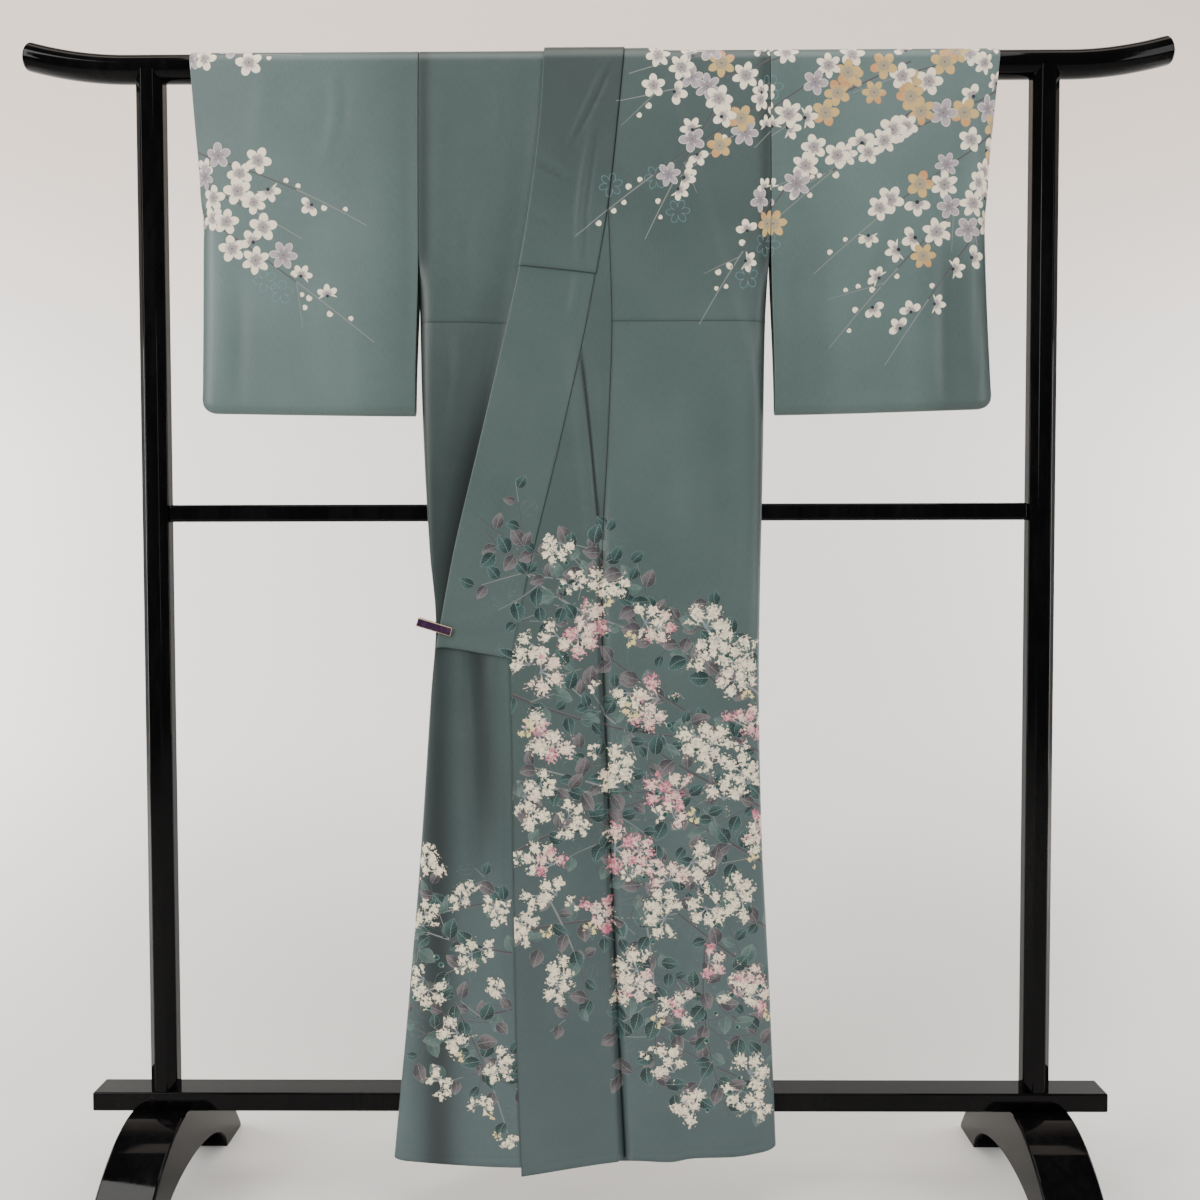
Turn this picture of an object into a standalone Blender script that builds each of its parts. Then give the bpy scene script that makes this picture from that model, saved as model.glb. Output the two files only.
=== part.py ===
"""A silk kimono hung over the top rail of a black lacquered kimono stand (iko).

Metres, +Z up, the front of the kimono towards -Y, origin on the floor under the middle of the stand.
Every panel of cloth is a thin wall made from one rule: a point is given by its place across the garment
(x) and its distance along the cloth from the shoulder line (s, negative down the front, positive down the
back), and the rule bends it over the rail and hangs it from there. Left and right are the wearer's.
"""

import math
from collections import namedtuple

import bmesh
import bpy
from mathutils import Matrix, Vector

MM = 0.001

# ---------------------------------------------------------------- stand
RAIL_AXIS_Z = 1.594
RAIL_RADIUS = 0.019
RAIL_HALF_LENGTH = 0.790
RAIL_SIDES = 16
RAIL_BEND_START = 0.650  # where the ends begin to turn up
RAIL_BEND_STEPS = 6
RAIL_END_RISE = 0.019
RAIL_END_DOME = 0.002
POST_X = 0.620
POST_WIDTH = 0.037
POST_CHAMFER = 0.010
MID_RAIL_Z = 0.977
MID_RAIL_HEIGHT = 0.024
MID_RAIL_DEPTH = 0.022
MID_RAIL_BEVEL = 0.004
BEAM_TOP_Z = 0.158
BEAM_HEIGHT = 0.0265
BEAM_DEPTH = 0.042
BEAM_HALF_LENGTH = 0.717
BEAM_BEVEL = 0.002
FOOT_WIDTH = 0.080
FOOT_REACH = 0.185  # from the beam's middle to each end of a foot
FOOT_NOTCH = 0.0025  # how far the beam is let into a foot
FOOT_TIP_HEIGHT = 0.010
FOOT_ARCH_REACH = 0.125
FOOT_ARCH_HEIGHT = 0.060
FOOT_BEVEL = 0.002
FOOT_TOP_STEPS, FOOT_ARCH_STEPS = 8, 6
BEVEL_SEGMENTS = 2

# ---------------------------------------------------------------- cloth
WALL = 0.0012
GAP = 0.0003
NORMAL_STEP = 0.00002
RAIL_CLEARANCE = 0.00045
LAYER_PITCH = WALL + GAP
LAYER = [RAIL_CLEARANCE + WALL / 2 + k * LAYER_PITCH for k in range(4)]
UNDER, UNDER_COLLAR, TOP, TOP_COLLAR = LAYER  # wall middles, out from the rail's surface
QUARTER_TURN = RAIL_RADIUS * math.pi / 2  # cloth from the shoulder line to where it hangs free
CENTRE_BACK_X = -0.003
SLEEVE_SEAM_END = 0.274  # the sleeve is sewn to the body from the shoulder to here
SIDE_SEAM_START = 0.385
SIDE_TURN = 0.020  # radius across, where front and back meet at the side
SEAM_TURN = 0.030  # a closed edge stops this much of a radian short of its seam
CUFF_CLOSES = (0.205, 0.255)  # the wrist opening ends between these
CUFF_TURN = 0.020
SLEEVE_HEM_TURN = 0.012
NECK_S = RAIL_RADIUS * math.radians(75)  # the neck seam, behind the rail
NECK_STEP = 0.0006
NECK_ROW = 0.004  # the body's next row, this far below where the cloth starts to hang
OKUMI_TIP = 0.230
OKUMI_FREE_START = 0.847  # the collar is sewn to the overlap panel down to here
OVER_COLLAR_END = 0.314

# Edges of the left front, in mm: down from the shoulder line, then x.
LEFT_SIDE = ((0, 238), (246, 240), (385, 233), (550, 230), (870, 224), (1100, 228), (1300, 238), (1540, 248))
LEFT_OKUMI_SEAM = (
    (223, 16), (300, 19), (400, 21), (550, 15), (700, 7), (830, 7), (1000, 13), (1300, 25), (1560, 37),
)
LEFT_OKUMI_FREE = ((845, -122), (1000, -119), (1200, -117), (1400, -114), (1575, -107))
LEFT_COLLAR_SEAM = ((0, 40), (100, 30), (223, 16), (300, 2), (400, -17), (550, -51), (700, -88), (850, -122))
LEFT_COLLAR_FREE = (
    (0, -71), (100, -77), (200, -89), (300, -105), (400, -127), (550, -163), (700, -199), (835, -224),
)
RIGHT_SIDE = (
    (0, -244), (274, -246), (383, -245), (520, -242), (700, -233), (800, -225), (900, -232),
    (1130, -248), (1350, -267), (1555, -287),
)
RIGHT_COLLAR_SEAM = ((0, -46), (100, -36), (223, -22), (300, -8), (400, 11), (550, 43), (700, 77), (850, 105))
RIGHT_COLLAR_FREE = ((0, 65), (100, 71), (200, 82), (300, 98), (400, 119), (550, 151), (700, 184), (835, 205))
RIGHT_OKUMI_FREE = ((845, 105), (1000, 103), (1229, 99), (1450, 90), (1575, 79))
MIRROR_SUM = -6  # a left edge at x lies at MIRROR_SUM - x on the right front
# Hems, in mm: x, then down from the shoulder line.
TOP_HEM = ((-130, 1576), (-107, 1573), (36, 1551), (101, 1552), (130, 1547), (195, 1544), (250, 1533))
UNDER_HEM = ((-290, 1551), (-206, 1558), (-110, 1562), (2, 1558), (110, 1558))
BACK_HEM = ((-290, 1551), (-3, 1544), (250, 1533))
HEM_LEVEL = 1560  # the level of x_hem in FOLDS
COLLAR_END = ((-230, 835), (-211, 835), (-118, 850))  # x, down, along the left collar's lower end
COLLAR_END_ROW = 0.020  # a collar has no row closer than this above its lower end
# Sleeves, in mm: down from the shoulder line, then x of the outer edge.
RIGHT_CUFF = ((0, -561), (100, -554), (196, -547), (310, -547), (520, -549))
LEFT_CUFF = ((0, 555), (100, 545), (200, 537), (315, 538), (520, 547))
SLEEVE_HEM = ((-560, 508), (-244, 513), (244, 513), (560, 505))  # x, down
SLEEVE_CORNER = ((0, 17), (2, 10), (7, 3.5), (15, 0), (30, 0))  # up from the hem, then inset of the edge
SLEEVE_MIDDLE_X = 0.5  # where a sleeve's rows are measured
FURI_START = 0.246  # a sleeve's inner edge follows the body's side to here and then hangs straight
FURI_LEAN = 0.006  # that open edge ends this far outside the body's side
FURI_LEAN_FULL = 0.50

# How far the cloth leans towards the front as it hangs, in mm: down, then lean. The back panels come from
# behind the top rail to the front of the mid rail and the beam, and push the fronts out below.
FRONT_LEAN = ((30, 0), (400, 0.3), (650, 2.4), (1000, 10), (1460, 18), (1600, 19.5))
BACK_LEAN = (
    (30, 0), (150, 5.5), (300, 14), (450, 22.5), (600, 30.6), (647, 32.4), (720, 33.2), (1000, 36.8),
    (1300, 40.5), (1440, 42.4), (1500, 42.7), (1600, 43),
)
# Vertical folds, in mm: panel, x at the top and at the hem, half width, depth (outward is +), then the
# distances down where a fold starts, is full, begins to fade and ends.
FOLDS = (
    ("under", -172, -164, 26, -8, 790, 860, 1000, 1360),
    ("back", -112, -120, 34, -5, 900, 1120, 2000, 3000),
    ("back", 165, 178, 34, -5, 900, 1120, 2000, 3000),
)
# The deep pleat along the left okumi seam, in mm: down, then depth. The under front falls back as far.
PLEAT = ((540, 0), (650, 2.5), (760, 7.5), (900, 9.5), (1000, 11), (1460, 13))
PLEAT_HALF_WIDTH = 0.014
RECESS_ACROSS = (-0.100, -0.035)
# The left front lies over the right collar as far as this step, which moves out as it goes down.
COLLAR_STEP_X, COLLAR_STEP_WIDTH, COLLAR_STEP_SPREAD = 0.074, 0.025, 0.30
# Behind the neck the right side rises to the left one, and both come back to the lowest layer below it.
NECK_RISES, NECK_SETTLES = (0.005, 0.025), (0.030, 0.100)
NECK_RISE_X = -0.060

# ---------------------------------------------------------------- clip
CLIP_LENGTH, CLIP_HEIGHT, CLIP_BAR = 0.050, 0.012, 0.0028
CLIP_X, CLIP_Z, CLIP_TILT = -0.2265, 0.818, math.radians(17)
CLIP_FRONT_Y, CLIP_BACK_Y = -0.0265, -0.0170  # inner faces of its two bars
CLIP_BACK_LENGTH = 0.042
PINCH_X, PINCH_Z_DOWN = -0.222, 0.807
PINCH_ACROSS, PINCH_ALONG, PINCH_SHARE = 0.060, 0.075, 0.85

Finish = namedtuple("Finish", "name colour roughness metallic")
SILK = Finish("silk", (0.105, 0.158, 0.147, 1.0), 0.55, 0.0)
LACQUER = Finish("black_lacquer", (0.004, 0.004, 0.005, 1.0), 0.08, 0.0)
CLIP_ENAMEL = Finish("clip_enamel", (0.10, 0.05, 0.16, 1.0), 0.25, 0.0)
SHARP_ANGLE = math.radians(40)

# ---------------------------------------------------------------- rows and columns of the walls
WRAP = [RAIL_RADIUS * math.radians(15 * k) for k in range(7)]  # 0 to a quarter turn
FRONT_DOWN = (
    0.075, 0.130, 0.185, OKUMI_TIP, SLEEVE_SEAM_END, OVER_COLLAR_END, 0.350, SIDE_SEAM_START,
    0.450, 0.520, 0.600, 0.680, 0.745, 0.790, 0.835, 0.900, 1.000, 1.120, 1.250, 1.380, 1.480,
)
BACK_DOWN = (
    0.100, 0.185, SLEEVE_SEAM_END, 0.330, SIDE_SEAM_START, 0.500, 0.650, 0.740, 0.807, 0.880,
    1.000, 1.200, 1.400,
)
SLEEVE_DOWN = (0.090, 0.160, 0.205, 0.230, 0.255, 0.330, 0.410, 0.470)
TURN_STEPS = (0.0, 0.34, 0.67, 1.0)  # shares of the quarter turn at a closed side
HEM_TURN_STEPS = (0.0, 0.4, 0.75, 1.0)  # and at a sleeve's closed hem
BODY_SHARES = (0.0, 0.021, 0.042, 0.064, 0.090, 0.150, 0.30, 0.46, 0.64, 0.82)
PLAIN_SHARES = (0.0, 0.18, 0.36, 0.54, 0.70, 0.85)
OKUMI_SHARES = (0.0, 0.22, 0.46, 0.70, 0.87, 0.91, 0.94, 0.97, 1.0)
UNDER_OKUMI_SHARES = (0.0, 0.33, 0.67, 1.0)
COLLAR_SHARES = (0.0, 0.34, 0.67, 1.0)
SLEEVE_SHARES = (0.0, 0.35, 0.70)


def curve(table, at):
    """A smooth line through a table's rows, read at one place."""
    rows = list(table)
    if at <= rows[0][0]:
        return rows[0][1]
    if at >= rows[-1][0]:
        return rows[-1][1]
    k = next(i for i in range(len(rows) - 1) if at <= rows[i + 1][0])

    def slope(i):
        low, high = max(i - 1, 0), min(i + 1, len(rows) - 1)
        return (rows[high][1] - rows[low][1]) / (rows[high][0] - rows[low][0])

    (x0, y0), (x1, y1) = rows[k], rows[k + 1]
    span = x1 - x0
    t = (at - x0) / span
    a, b = slope(k) * span, slope(k + 1) * span
    return (
        y0 * (1 + 2 * t) * (1 - t) ** 2
        + a * t * (1 - t) ** 2
        + y1 * t * t * (3 - 2 * t)
        + b * t * t * (t - 1)
    )


def edge(table, down):
    """An edge's x in metres at a distance down from the shoulder line in metres."""
    return curve(table, down / MM) * MM


def ramp(value, low, high):
    """0 below low, 1 above high, smooth between."""
    t = min(max((value - low) / (high - low), 0.0), 1.0)
    return t * t * (3 - 2 * t)


def dip(distance, half_width):
    """1 in the middle of a fold and 0 past its half width, smooth at both."""
    t = min(abs(distance) / half_width, 1.0)
    return (1 + math.cos(math.pi * t)) / 2


def folds(panel, x, down):
    """How far a panel's vertical folds stand out, or lie back, at a place."""
    total = 0.0
    for name, x_top, x_hem, half_width, depth, start, full, fade, end in FOLDS:
        if name == panel:
            level = down / MM
            middle = x_top + (x_hem - x_top) * min(level / HEM_LEVEL, 1.0)
            along = ramp(level, start, full) * (1 - ramp(level, fade, end))
            total += depth * MM * dip(x / MM - middle, half_width) * along
    return total


def pinch(x, down):
    """The share of the hanging depth that is left near the clip."""
    across = (x - PINCH_X) / PINCH_ACROSS
    along = (down - PINCH_Z_DOWN) / PINCH_ALONG
    return 1 - PINCH_SHARE * math.exp(-across * across - along * along)


def hang(x, s, layer, fold=0.0, closing=1.0):
    """A point of cloth at x, s along the cloth, on a layer outside the rail.

    Below the rail it hangs from it. closing is the share of its depth, measured from the middle between
    the front and the back, that is left where those two meet.
    """
    down = abs(s)
    if down < QUARTER_TURN:
        angle = s / RAIL_RADIUS
        radius = RAIL_RADIUS + layer
        return Vector((x, radius * math.sin(angle), RAIL_AXIS_Z + radius * math.cos(angle)))
    surface = RAIL_RADIUS + UNDER
    front = -surface - edge(FRONT_LEAN, down)
    back = surface - edge(BACK_LEAN, down)
    middle, half = (front + back) / 2, (back - front) / 2
    depth = (half * pinch(x, down) + layer - UNDER + fold) * closing
    facing = -1.0 if s < 0 else 1.0
    return Vector((x, middle + facing * depth, RAIL_AXIS_Z - (down - QUARTER_TURN)))


def turned(across, side_x, outward, closed, radius):
    """Bends the cloth round a closed side edge. Gives x and the share of the depth that is left."""
    start = side_x - outward * radius
    past = (across - start) * outward
    if past <= 0:
        return across, 1.0
    angle = past / radius
    reach = (1 - closed) * angle / (math.pi / 2) + closed * math.sin(angle)
    return start + outward * radius * reach, 1 - closed + closed * math.cos(angle)


def side_closed(down):
    """The share to which the sides are closed: open beside the sleeves, sewn together below them."""
    return ramp(down, SLEEVE_SEAM_END, SIDE_SEAM_START)


def top_front(layer):
    """The wearer's left front, which lies on top, with the panel behind the rail that continues it."""

    def point(across, s):
        down = abs(s)
        x, depth = turned(across, edge(LEFT_SIDE, down), 1, side_closed(down), SIDE_TURN)
        if s < 0:
            step = COLLAR_STEP_X + COLLAR_STEP_SPREAD * down
            lift = 1 - ramp(x, step, step + COLLAR_STEP_WIDTH)
            seam = edge(LEFT_OKUMI_SEAM, down)
            fold = -edge(PLEAT, down) * dip(x - seam, PLEAT_HALF_WIDTH)
        else:
            lift = 1 - ramp(x, COLLAR_STEP_X, COLLAR_STEP_X + COLLAR_STEP_WIDTH)
            lift *= 1 - ramp(s, *NECK_SETTLES)
            fold = folds("back", x, down)
        raised = layer - (TOP - UNDER) * (1 - lift)
        return hang(x, s, raised, fold, depth)

    return point


def under_front(layer, behind_neck=False):
    """The wearer's right front, which lies beneath, with the panel behind the rail that continues it.

    behind_neck lifts the back panel beside the neck, so that it meets the left one there.
    """

    def point(across, s):
        down = abs(s)
        x, depth = turned(across, edge(RIGHT_SIDE, down), -1, side_closed(down), SIDE_TURN)
        raised = layer
        if s < 0:
            fold = folds("under", x, down) - edge(PLEAT, down) * ramp(x, *RECESS_ACROSS)
        else:
            fold = folds("back", x, down)
            if behind_neck:
                neck = ramp(s, *NECK_RISES) * (1 - ramp(s, *NECK_SETTLES))
                raised += (TOP - UNDER) * neck * ramp(x, NECK_RISE_X, CENTRE_BACK_X)
        return hang(x, s, raised, fold, depth)

    return point


def sleeve_drop(length, hem):
    """How far down a length of sleeve reaches, and the share of the depth that the closed hem leaves."""
    start = hem - SLEEVE_HEM_TURN
    if length <= start:
        return length, 1.0
    angle = (length - start) / SLEEVE_HEM_TURN
    return start + SLEEVE_HEM_TURN * math.sin(angle), math.cos(angle)


def sleeve_side(cuff, outward, down, hem):
    """The sleeve's outer edge, rounded at its lower corner."""
    return edge(cuff, down) - outward * edge(SLEEVE_CORNER, max(hem - down, 0.0))


def sleeve_surface(cuff, outward):
    """A sleeve: one cloth folded over the rail, closed along the hem and below the wrist opening."""

    def point(across, s):
        hem = edge(SLEEVE_HEM, across)
        down, hem_depth = sleeve_drop(abs(s), hem)
        side = sleeve_side(cuff, outward, down, hem)
        x, depth = turned(across, side, outward, ramp(down, *CUFF_CLOSES), CUFF_TURN)
        return hang(x, math.copysign(down, s), UNDER, 0.0, depth * hem_depth)

    return point


def normal_at(surface, across, s):
    """The surface's normal, from four points close by."""
    along_x = surface(across + NORMAL_STEP, s) - surface(across - NORMAL_STEP, s)
    along_s = surface(across, s + NORMAL_STEP) - surface(across, s - NORMAL_STEP)
    return along_x.cross(along_s).normalized()


def material(finish):
    """A finish's Principled material, made once and shared."""
    found = bpy.data.materials.get(finish.name)
    if found:
        return found
    made = bpy.data.materials.new(finish.name)
    made.use_nodes = True
    shader = made.node_tree.nodes["Principled BSDF"]
    shader.inputs["Base Color"].default_value = finish.colour
    shader.inputs["Roughness"].default_value = finish.roughness
    shader.inputs["Metallic"].default_value = finish.metallic
    made.diffuse_color = finish.colour
    return made


def add_mesh(name, vertices, faces, finish):
    """A smooth-shaded object with its faces pointing out."""
    mesh = bpy.data.meshes.new(name)
    mesh.from_pydata([tuple(v) for v in vertices], [], faces)
    bm = bmesh.new()
    bm.from_mesh(mesh)
    bmesh.ops.recalc_face_normals(bm, faces=bm.faces)
    bm.to_mesh(mesh)
    bm.free()
    mesh.shade_smooth()
    mesh.set_sharp_from_angle(angle=SHARP_ANGLE)
    mesh.materials.append(material(finish))
    placed = bpy.data.objects.new(name, mesh)
    bpy.context.scene.collection.objects.link(placed)
    return placed


def add_wall(name, grid, surface):
    """A closed wall of even thickness from a grid of (across, s) places on a surface."""
    rows, columns = len(grid), len(grid[0])
    outer, inner = [], []
    for row in grid:
        for across, s in row:
            middle = surface(across, s)
            half = normal_at(surface, across, s) * (WALL / 2)
            outer.append(middle + half)
            inner.append(middle - half)
    back = rows * columns
    faces = []
    for r in range(rows - 1):
        for c in range(columns - 1):
            a, b = r * columns + c, r * columns + c + 1
            d, e = a + columns, b + columns
            faces.append((a, b, e, d))
            faces.append((back + a, back + d, back + e, back + b))
    rim = list(range(columns))
    rim += [r * columns + columns - 1 for r in range(1, rows)]
    rim += [(rows - 1) * columns + c for c in range(columns - 2, -1, -1)]
    rim += [r * columns for r in range(rows - 2, 0, -1)]
    for k, a in enumerate(rim):
        b = rim[(k + 1) % len(rim)]
        faces.append((b, a, back + a, back + b))
    return add_mesh(name, outer + inner, faces, SILK)


def between(low, high, shares):
    """Places from low to high, at the shares given."""
    return [low + (high - low) * share for share in shares]


def turn_columns(side_x, outward, radius):
    """Places across for the quarter turn at a closed side, stopping half a gap short of the seam."""
    last = math.pi / 2 - SEAM_TURN
    start = side_x - outward * radius
    return [start + outward * radius * last * step for step in TURN_STEPS]


def body_rows(front_hem, back_hem):
    """The rows of a body strip as functions of x, from the front hem over the rail to the back hem."""
    rows = [lambda x: -edge(front_hem, x)]
    rows += [lambda x, d=d: -d for d in reversed(FRONT_DOWN)]
    rows += [lambda x, d=d: -d for d in reversed(WRAP[1:])]
    rows += [lambda x, d=d: d for d in WRAP[:6]]
    rows += [lambda x: NECK_S + NECK_STEP]
    rows += [lambda x, d=d: d for d in (QUARTER_TURN + NECK_ROW, *BACK_DOWN)]
    rows += [lambda x: edge(back_hem, x)]
    return rows


def mirrored(table):
    """A left edge's table, as it lies on the right front."""
    return tuple((down, MIRROR_SUM - x) for down, x in table)


def body_inner_edge(s, collar_seam, okumi_seam, outward):
    """A body strip's edge away from its side: the collar and okumi seams, then the centre back seam."""
    if s > NECK_S:
        return CENTRE_BACK_X + outward * GAP / 2
    down = abs(min(s, 0.0))
    table = okumi_seam if down >= OKUMI_TIP else collar_seam
    return edge(table, down) + outward * GAP / 2


def add_body(name, surface, side, collar_seam, okumi_seam, hems, shares, outward):
    """Half of the body: one strip from the front hem, over the shoulder, to the back hem."""
    grid = []
    for row in body_rows(*hems):
        nominal = row(0.0)
        side_x = edge(side, abs(nominal)) - outward * GAP / 2
        inner = body_inner_edge(nominal, collar_seam, okumi_seam, outward)
        across = between(inner, side_x - outward * SIDE_TURN, shares)
        across += turn_columns(side_x, outward, SIDE_TURN)
        if outward < 0:
            across.reverse()
        grid.append([(a, row(a)) for a in across])
    return add_wall(name, grid, surface)


def okumi_free_edge(collar_seam, free):
    """An overlap panel's outer edge: the collar seam, then the free edge below the collar's end."""
    return lambda down: edge(collar_seam if down < OKUMI_FREE_START else free, down)


def add_okumi(name, surface, low_edge, high_edge, hem, shares):
    """An overlap panel, from its point beside the collar to the hem."""
    hem_level = edge(hem, 0.0)
    grid = []
    for down in (hem_level, *reversed([d for d in FRONT_DOWN if d >= OKUMI_TIP])):
        across = between(low_edge(down) + GAP / 2, high_edge(down) - GAP / 2, shares)
        grid.append([(a, -edge(hem, a) if down == hem_level else -down) for a in across])
    return add_wall(name, grid, surface)


def add_collar(name, surface, low_table, high_table, end_table):
    """A collar band, from its lower end over the rail to the neck seam."""
    end_level = max(down for x, down in end_table) * MM
    downs = [d for d in (*WRAP[1:], *FRONT_DOWN) if d < end_level - COLLAR_END_ROW]
    rows = [lambda x: -edge(end_table, x)]
    rows += [lambda x, d=d: -d for d in reversed(downs)]
    rows += [lambda x, d=d: d for d in (*WRAP[:5], NECK_S - GAP)]
    grid = []
    for row in rows:
        level = min(abs(min(row(0.0), 0.0)), end_level)
        low, high = edge(low_table, level) + GAP / 2, edge(high_table, level) - GAP / 2
        grid.append([(a, row(a)) for a in between(low, high, COLLAR_SHARES)])
    return add_wall(name, grid, surface)


def add_sleeve(name, cuff, body_side, outward):
    """A sleeve, from its front hem over the rail to its back hem."""
    last = math.pi / 2 - SEAM_TURN

    def hem_row(x, share):
        return edge(SLEEVE_HEM, x) - SLEEVE_HEM_TURN * (1 - last * share)

    down_rows = [lambda x, d=d: d for d in (*WRAP[1:], *SLEEVE_DOWN)]
    down_rows += [lambda x, share=share: hem_row(x, share) for share in HEM_TURN_STEPS]
    rows = [lambda x, f=f: -f(x) for f in reversed(down_rows)] + [lambda x: 0.0] + down_rows
    hem = edge(SLEEVE_HEM, outward * SLEEVE_MIDDLE_X)
    grid = []
    for row in rows:
        level, _ = sleeve_drop(abs(row(outward * SLEEVE_MIDDLE_X)), hem)
        lean = FURI_LEAN * ramp(level, SLEEVE_SEAM_END, FURI_LEAN_FULL)
        inner = edge(body_side, min(level, FURI_START)) + outward * (GAP / 2 + lean)
        side_x = sleeve_side(cuff, outward, level, hem)
        across = between(inner, side_x - outward * CUFF_TURN, SLEEVE_SHARES)
        across += turn_columns(side_x, outward, CUFF_TURN)
        if outward < 0:
            across.reverse()
        grid.append([(a, row(a)) for a in across])
    return add_wall(name, grid, sleeve_surface(cuff, outward))


# ---------------------------------------------------------------- stand parts
def prism_faces(count):
    """The faces between two outlines of the same number of points."""
    faces = [tuple(reversed(range(count))), tuple(range(count, 2 * count))]
    faces += [(k, (k + 1) % count, count + (k + 1) % count, count + k) for k in range(count)]
    return faces


def add_prism(name, outline, length, finish):
    """A closed prism: an outline in the Y-Z plane, drawn out along X."""
    vertices = [(x, y, z) for x in (-length / 2, length / 2) for y, z in outline]
    return add_mesh(name, vertices, prism_faces(len(outline)), finish)


def add_bar(name, depth, height, length, bevel):
    """A straight lacquered bar along X with softened edges."""
    y, z = depth / 2, height / 2
    bar = add_prism(name, [(-y, -z), (y, -z), (y, z), (-y, z)], length, LACQUER)
    soften = bar.modifiers.new("soft edges", "BEVEL")
    soften.width = bevel
    soften.segments = BEVEL_SEGMENTS
    return bar


def rail_centre(x):
    """The height of the top rail's axis."""
    rise = max(abs(x) - RAIL_BEND_START, 0.0) / (RAIL_HALF_LENGTH - RAIL_BEND_START)
    return RAIL_AXIS_Z + RAIL_END_RISE * rise * rise


def add_top_rail():
    """A round rail whose ends turn up, with slightly domed end faces."""
    bend_length = RAIL_HALF_LENGTH - RAIL_BEND_START
    stations = [k * bend_length / RAIL_BEND_STEPS - RAIL_HALF_LENGTH for k in range(RAIL_BEND_STEPS + 1)]
    stations += [-x for x in reversed(stations)]
    vertices, faces = [], []
    for x in stations:
        slope = 2 * RAIL_END_RISE * max(abs(x) - RAIL_BEND_START, 0.0) / bend_length ** 2
        lean = math.copysign(math.atan(slope), x)
        for k in range(RAIL_SIDES):
            angle = math.tau * k / RAIL_SIDES
            up = RAIL_RADIUS * math.sin(angle)
            vertices.append((
                x - up * math.sin(lean),
                RAIL_RADIUS * math.cos(angle),
                rail_centre(x) + up * math.cos(lean),
            ))
    for r in range(len(stations) - 1):
        for k in range(RAIL_SIDES):
            nxt = (k + 1) % RAIL_SIDES
            a, b = r * RAIL_SIDES + k, r * RAIL_SIDES + nxt
            faces.append((a, b, b + RAIL_SIDES, a + RAIL_SIDES))
    for ring, x in ((0, stations[0]), (len(stations) - 1, stations[-1])):
        dome = len(vertices)
        vertices.append((x + math.copysign(RAIL_END_DOME, x), 0.0, rail_centre(x)))
        for k in range(RAIL_SIDES):
            faces.append((ring * RAIL_SIDES + k, ring * RAIL_SIDES + (k + 1) % RAIL_SIDES, dome))
    return add_mesh("rail_top", vertices, faces, LACQUER)


def octagon(width, chamfer):
    """A square outline with its corners cut off."""
    h, c = width / 2, width / 2 - chamfer
    return [(h, c), (c, h), (-c, h), (-h, c), (-h, -c), (-c, -h), (c, -h), (h, -c)]


def add_post(name, x):
    """An eight-sided post from the beam to the top rail, saddled to fit under the rail."""
    low, high = BEAM_TOP_Z + GAP, RAIL_AXIS_Z
    outline = octagon(POST_WIDTH, POST_CHAMFER)
    vertices = [(px, py, z) for z in (low, high) for px, py in outline]
    post = add_mesh(name, vertices, prism_faces(len(outline)), LACQUER)
    post.location.x = x
    cutter_mesh = bpy.data.meshes.new(name + "_saddle")
    bm = bmesh.new()
    bmesh.ops.create_cone(
        bm, cap_ends=True, segments=2 * RAIL_SIDES, radius1=RAIL_RADIUS + GAP,
        radius2=RAIL_RADIUS + GAP, depth=3 * POST_WIDTH,
    )
    bmesh.ops.rotate(bm, verts=bm.verts, matrix=Matrix.Rotation(math.pi / 2, 3, "Y"))
    bm.to_mesh(cutter_mesh)
    bm.free()
    cutter = bpy.data.objects.new(name + "_saddle", cutter_mesh)
    bpy.context.scene.collection.objects.link(cutter)
    cutter.location = (x, 0.0, RAIL_AXIS_Z)
    cutter.hide_render = True
    cutter.display_type = "WIRE"
    saddle = post.modifiers.new("saddle", "BOOLEAN")
    saddle.operation = "DIFFERENCE"
    saddle.object = cutter
    return post


def add_mid_rail():
    """The rail half way up, between the posts."""
    length = 2 * (POST_X - POST_WIDTH / 2 - GAP)
    rail = add_bar("rail_mid", MID_RAIL_DEPTH, MID_RAIL_HEIGHT, length, MID_RAIL_BEVEL)
    rail.location.z = MID_RAIL_Z
    return rail


def add_beam():
    """The low beam that joins the feet and carries the posts."""
    beam = add_bar("beam_base", BEAM_DEPTH, BEAM_HEIGHT, 2 * BEAM_HALF_LENGTH, BEAM_BEVEL)
    beam.location.z = BEAM_TOP_Z - BEAM_HEIGHT / 2
    return beam


def foot_outline():
    """Front half of a foot from the beam's notch to the floor and under its arch, then mirrored."""
    seat = BEAM_TOP_Z - BEAM_HEIGHT - GAP
    crest = seat + FOOT_NOTCH
    notch_y = BEAM_DEPTH / 2 + GAP
    half = [(-notch_y, seat), (-notch_y, crest)]
    for k in range(1, FOOT_TOP_STEPS + 1):
        share = math.sin(math.pi / 2 * k / FOOT_TOP_STEPS)
        y = notch_y + (FOOT_REACH - notch_y) * share
        half.append((-y, FOOT_TIP_HEIGHT + (crest - FOOT_TIP_HEIGHT) * (1 - share * share)))
    half.append((-FOOT_REACH, 0.0))
    for k in range(FOOT_ARCH_STEPS):
        angle = math.pi / 2 * k / FOOT_ARCH_STEPS
        half.append((-FOOT_ARCH_REACH * math.cos(angle), FOOT_ARCH_HEIGHT * math.sin(angle)))
    return half + [(0.0, FOOT_ARCH_HEIGHT)] + [(-y, z) for y, z in reversed(half)]


def on_foot_top(vertex):
    """Whether a foot's vertex lies on the curve of its top."""
    _, y, z = vertex.co
    return z > FOOT_ARCH_HEIGHT or (abs(y) > FOOT_ARCH_REACH and z > FOOT_TIP_HEIGHT / 2)


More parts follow.
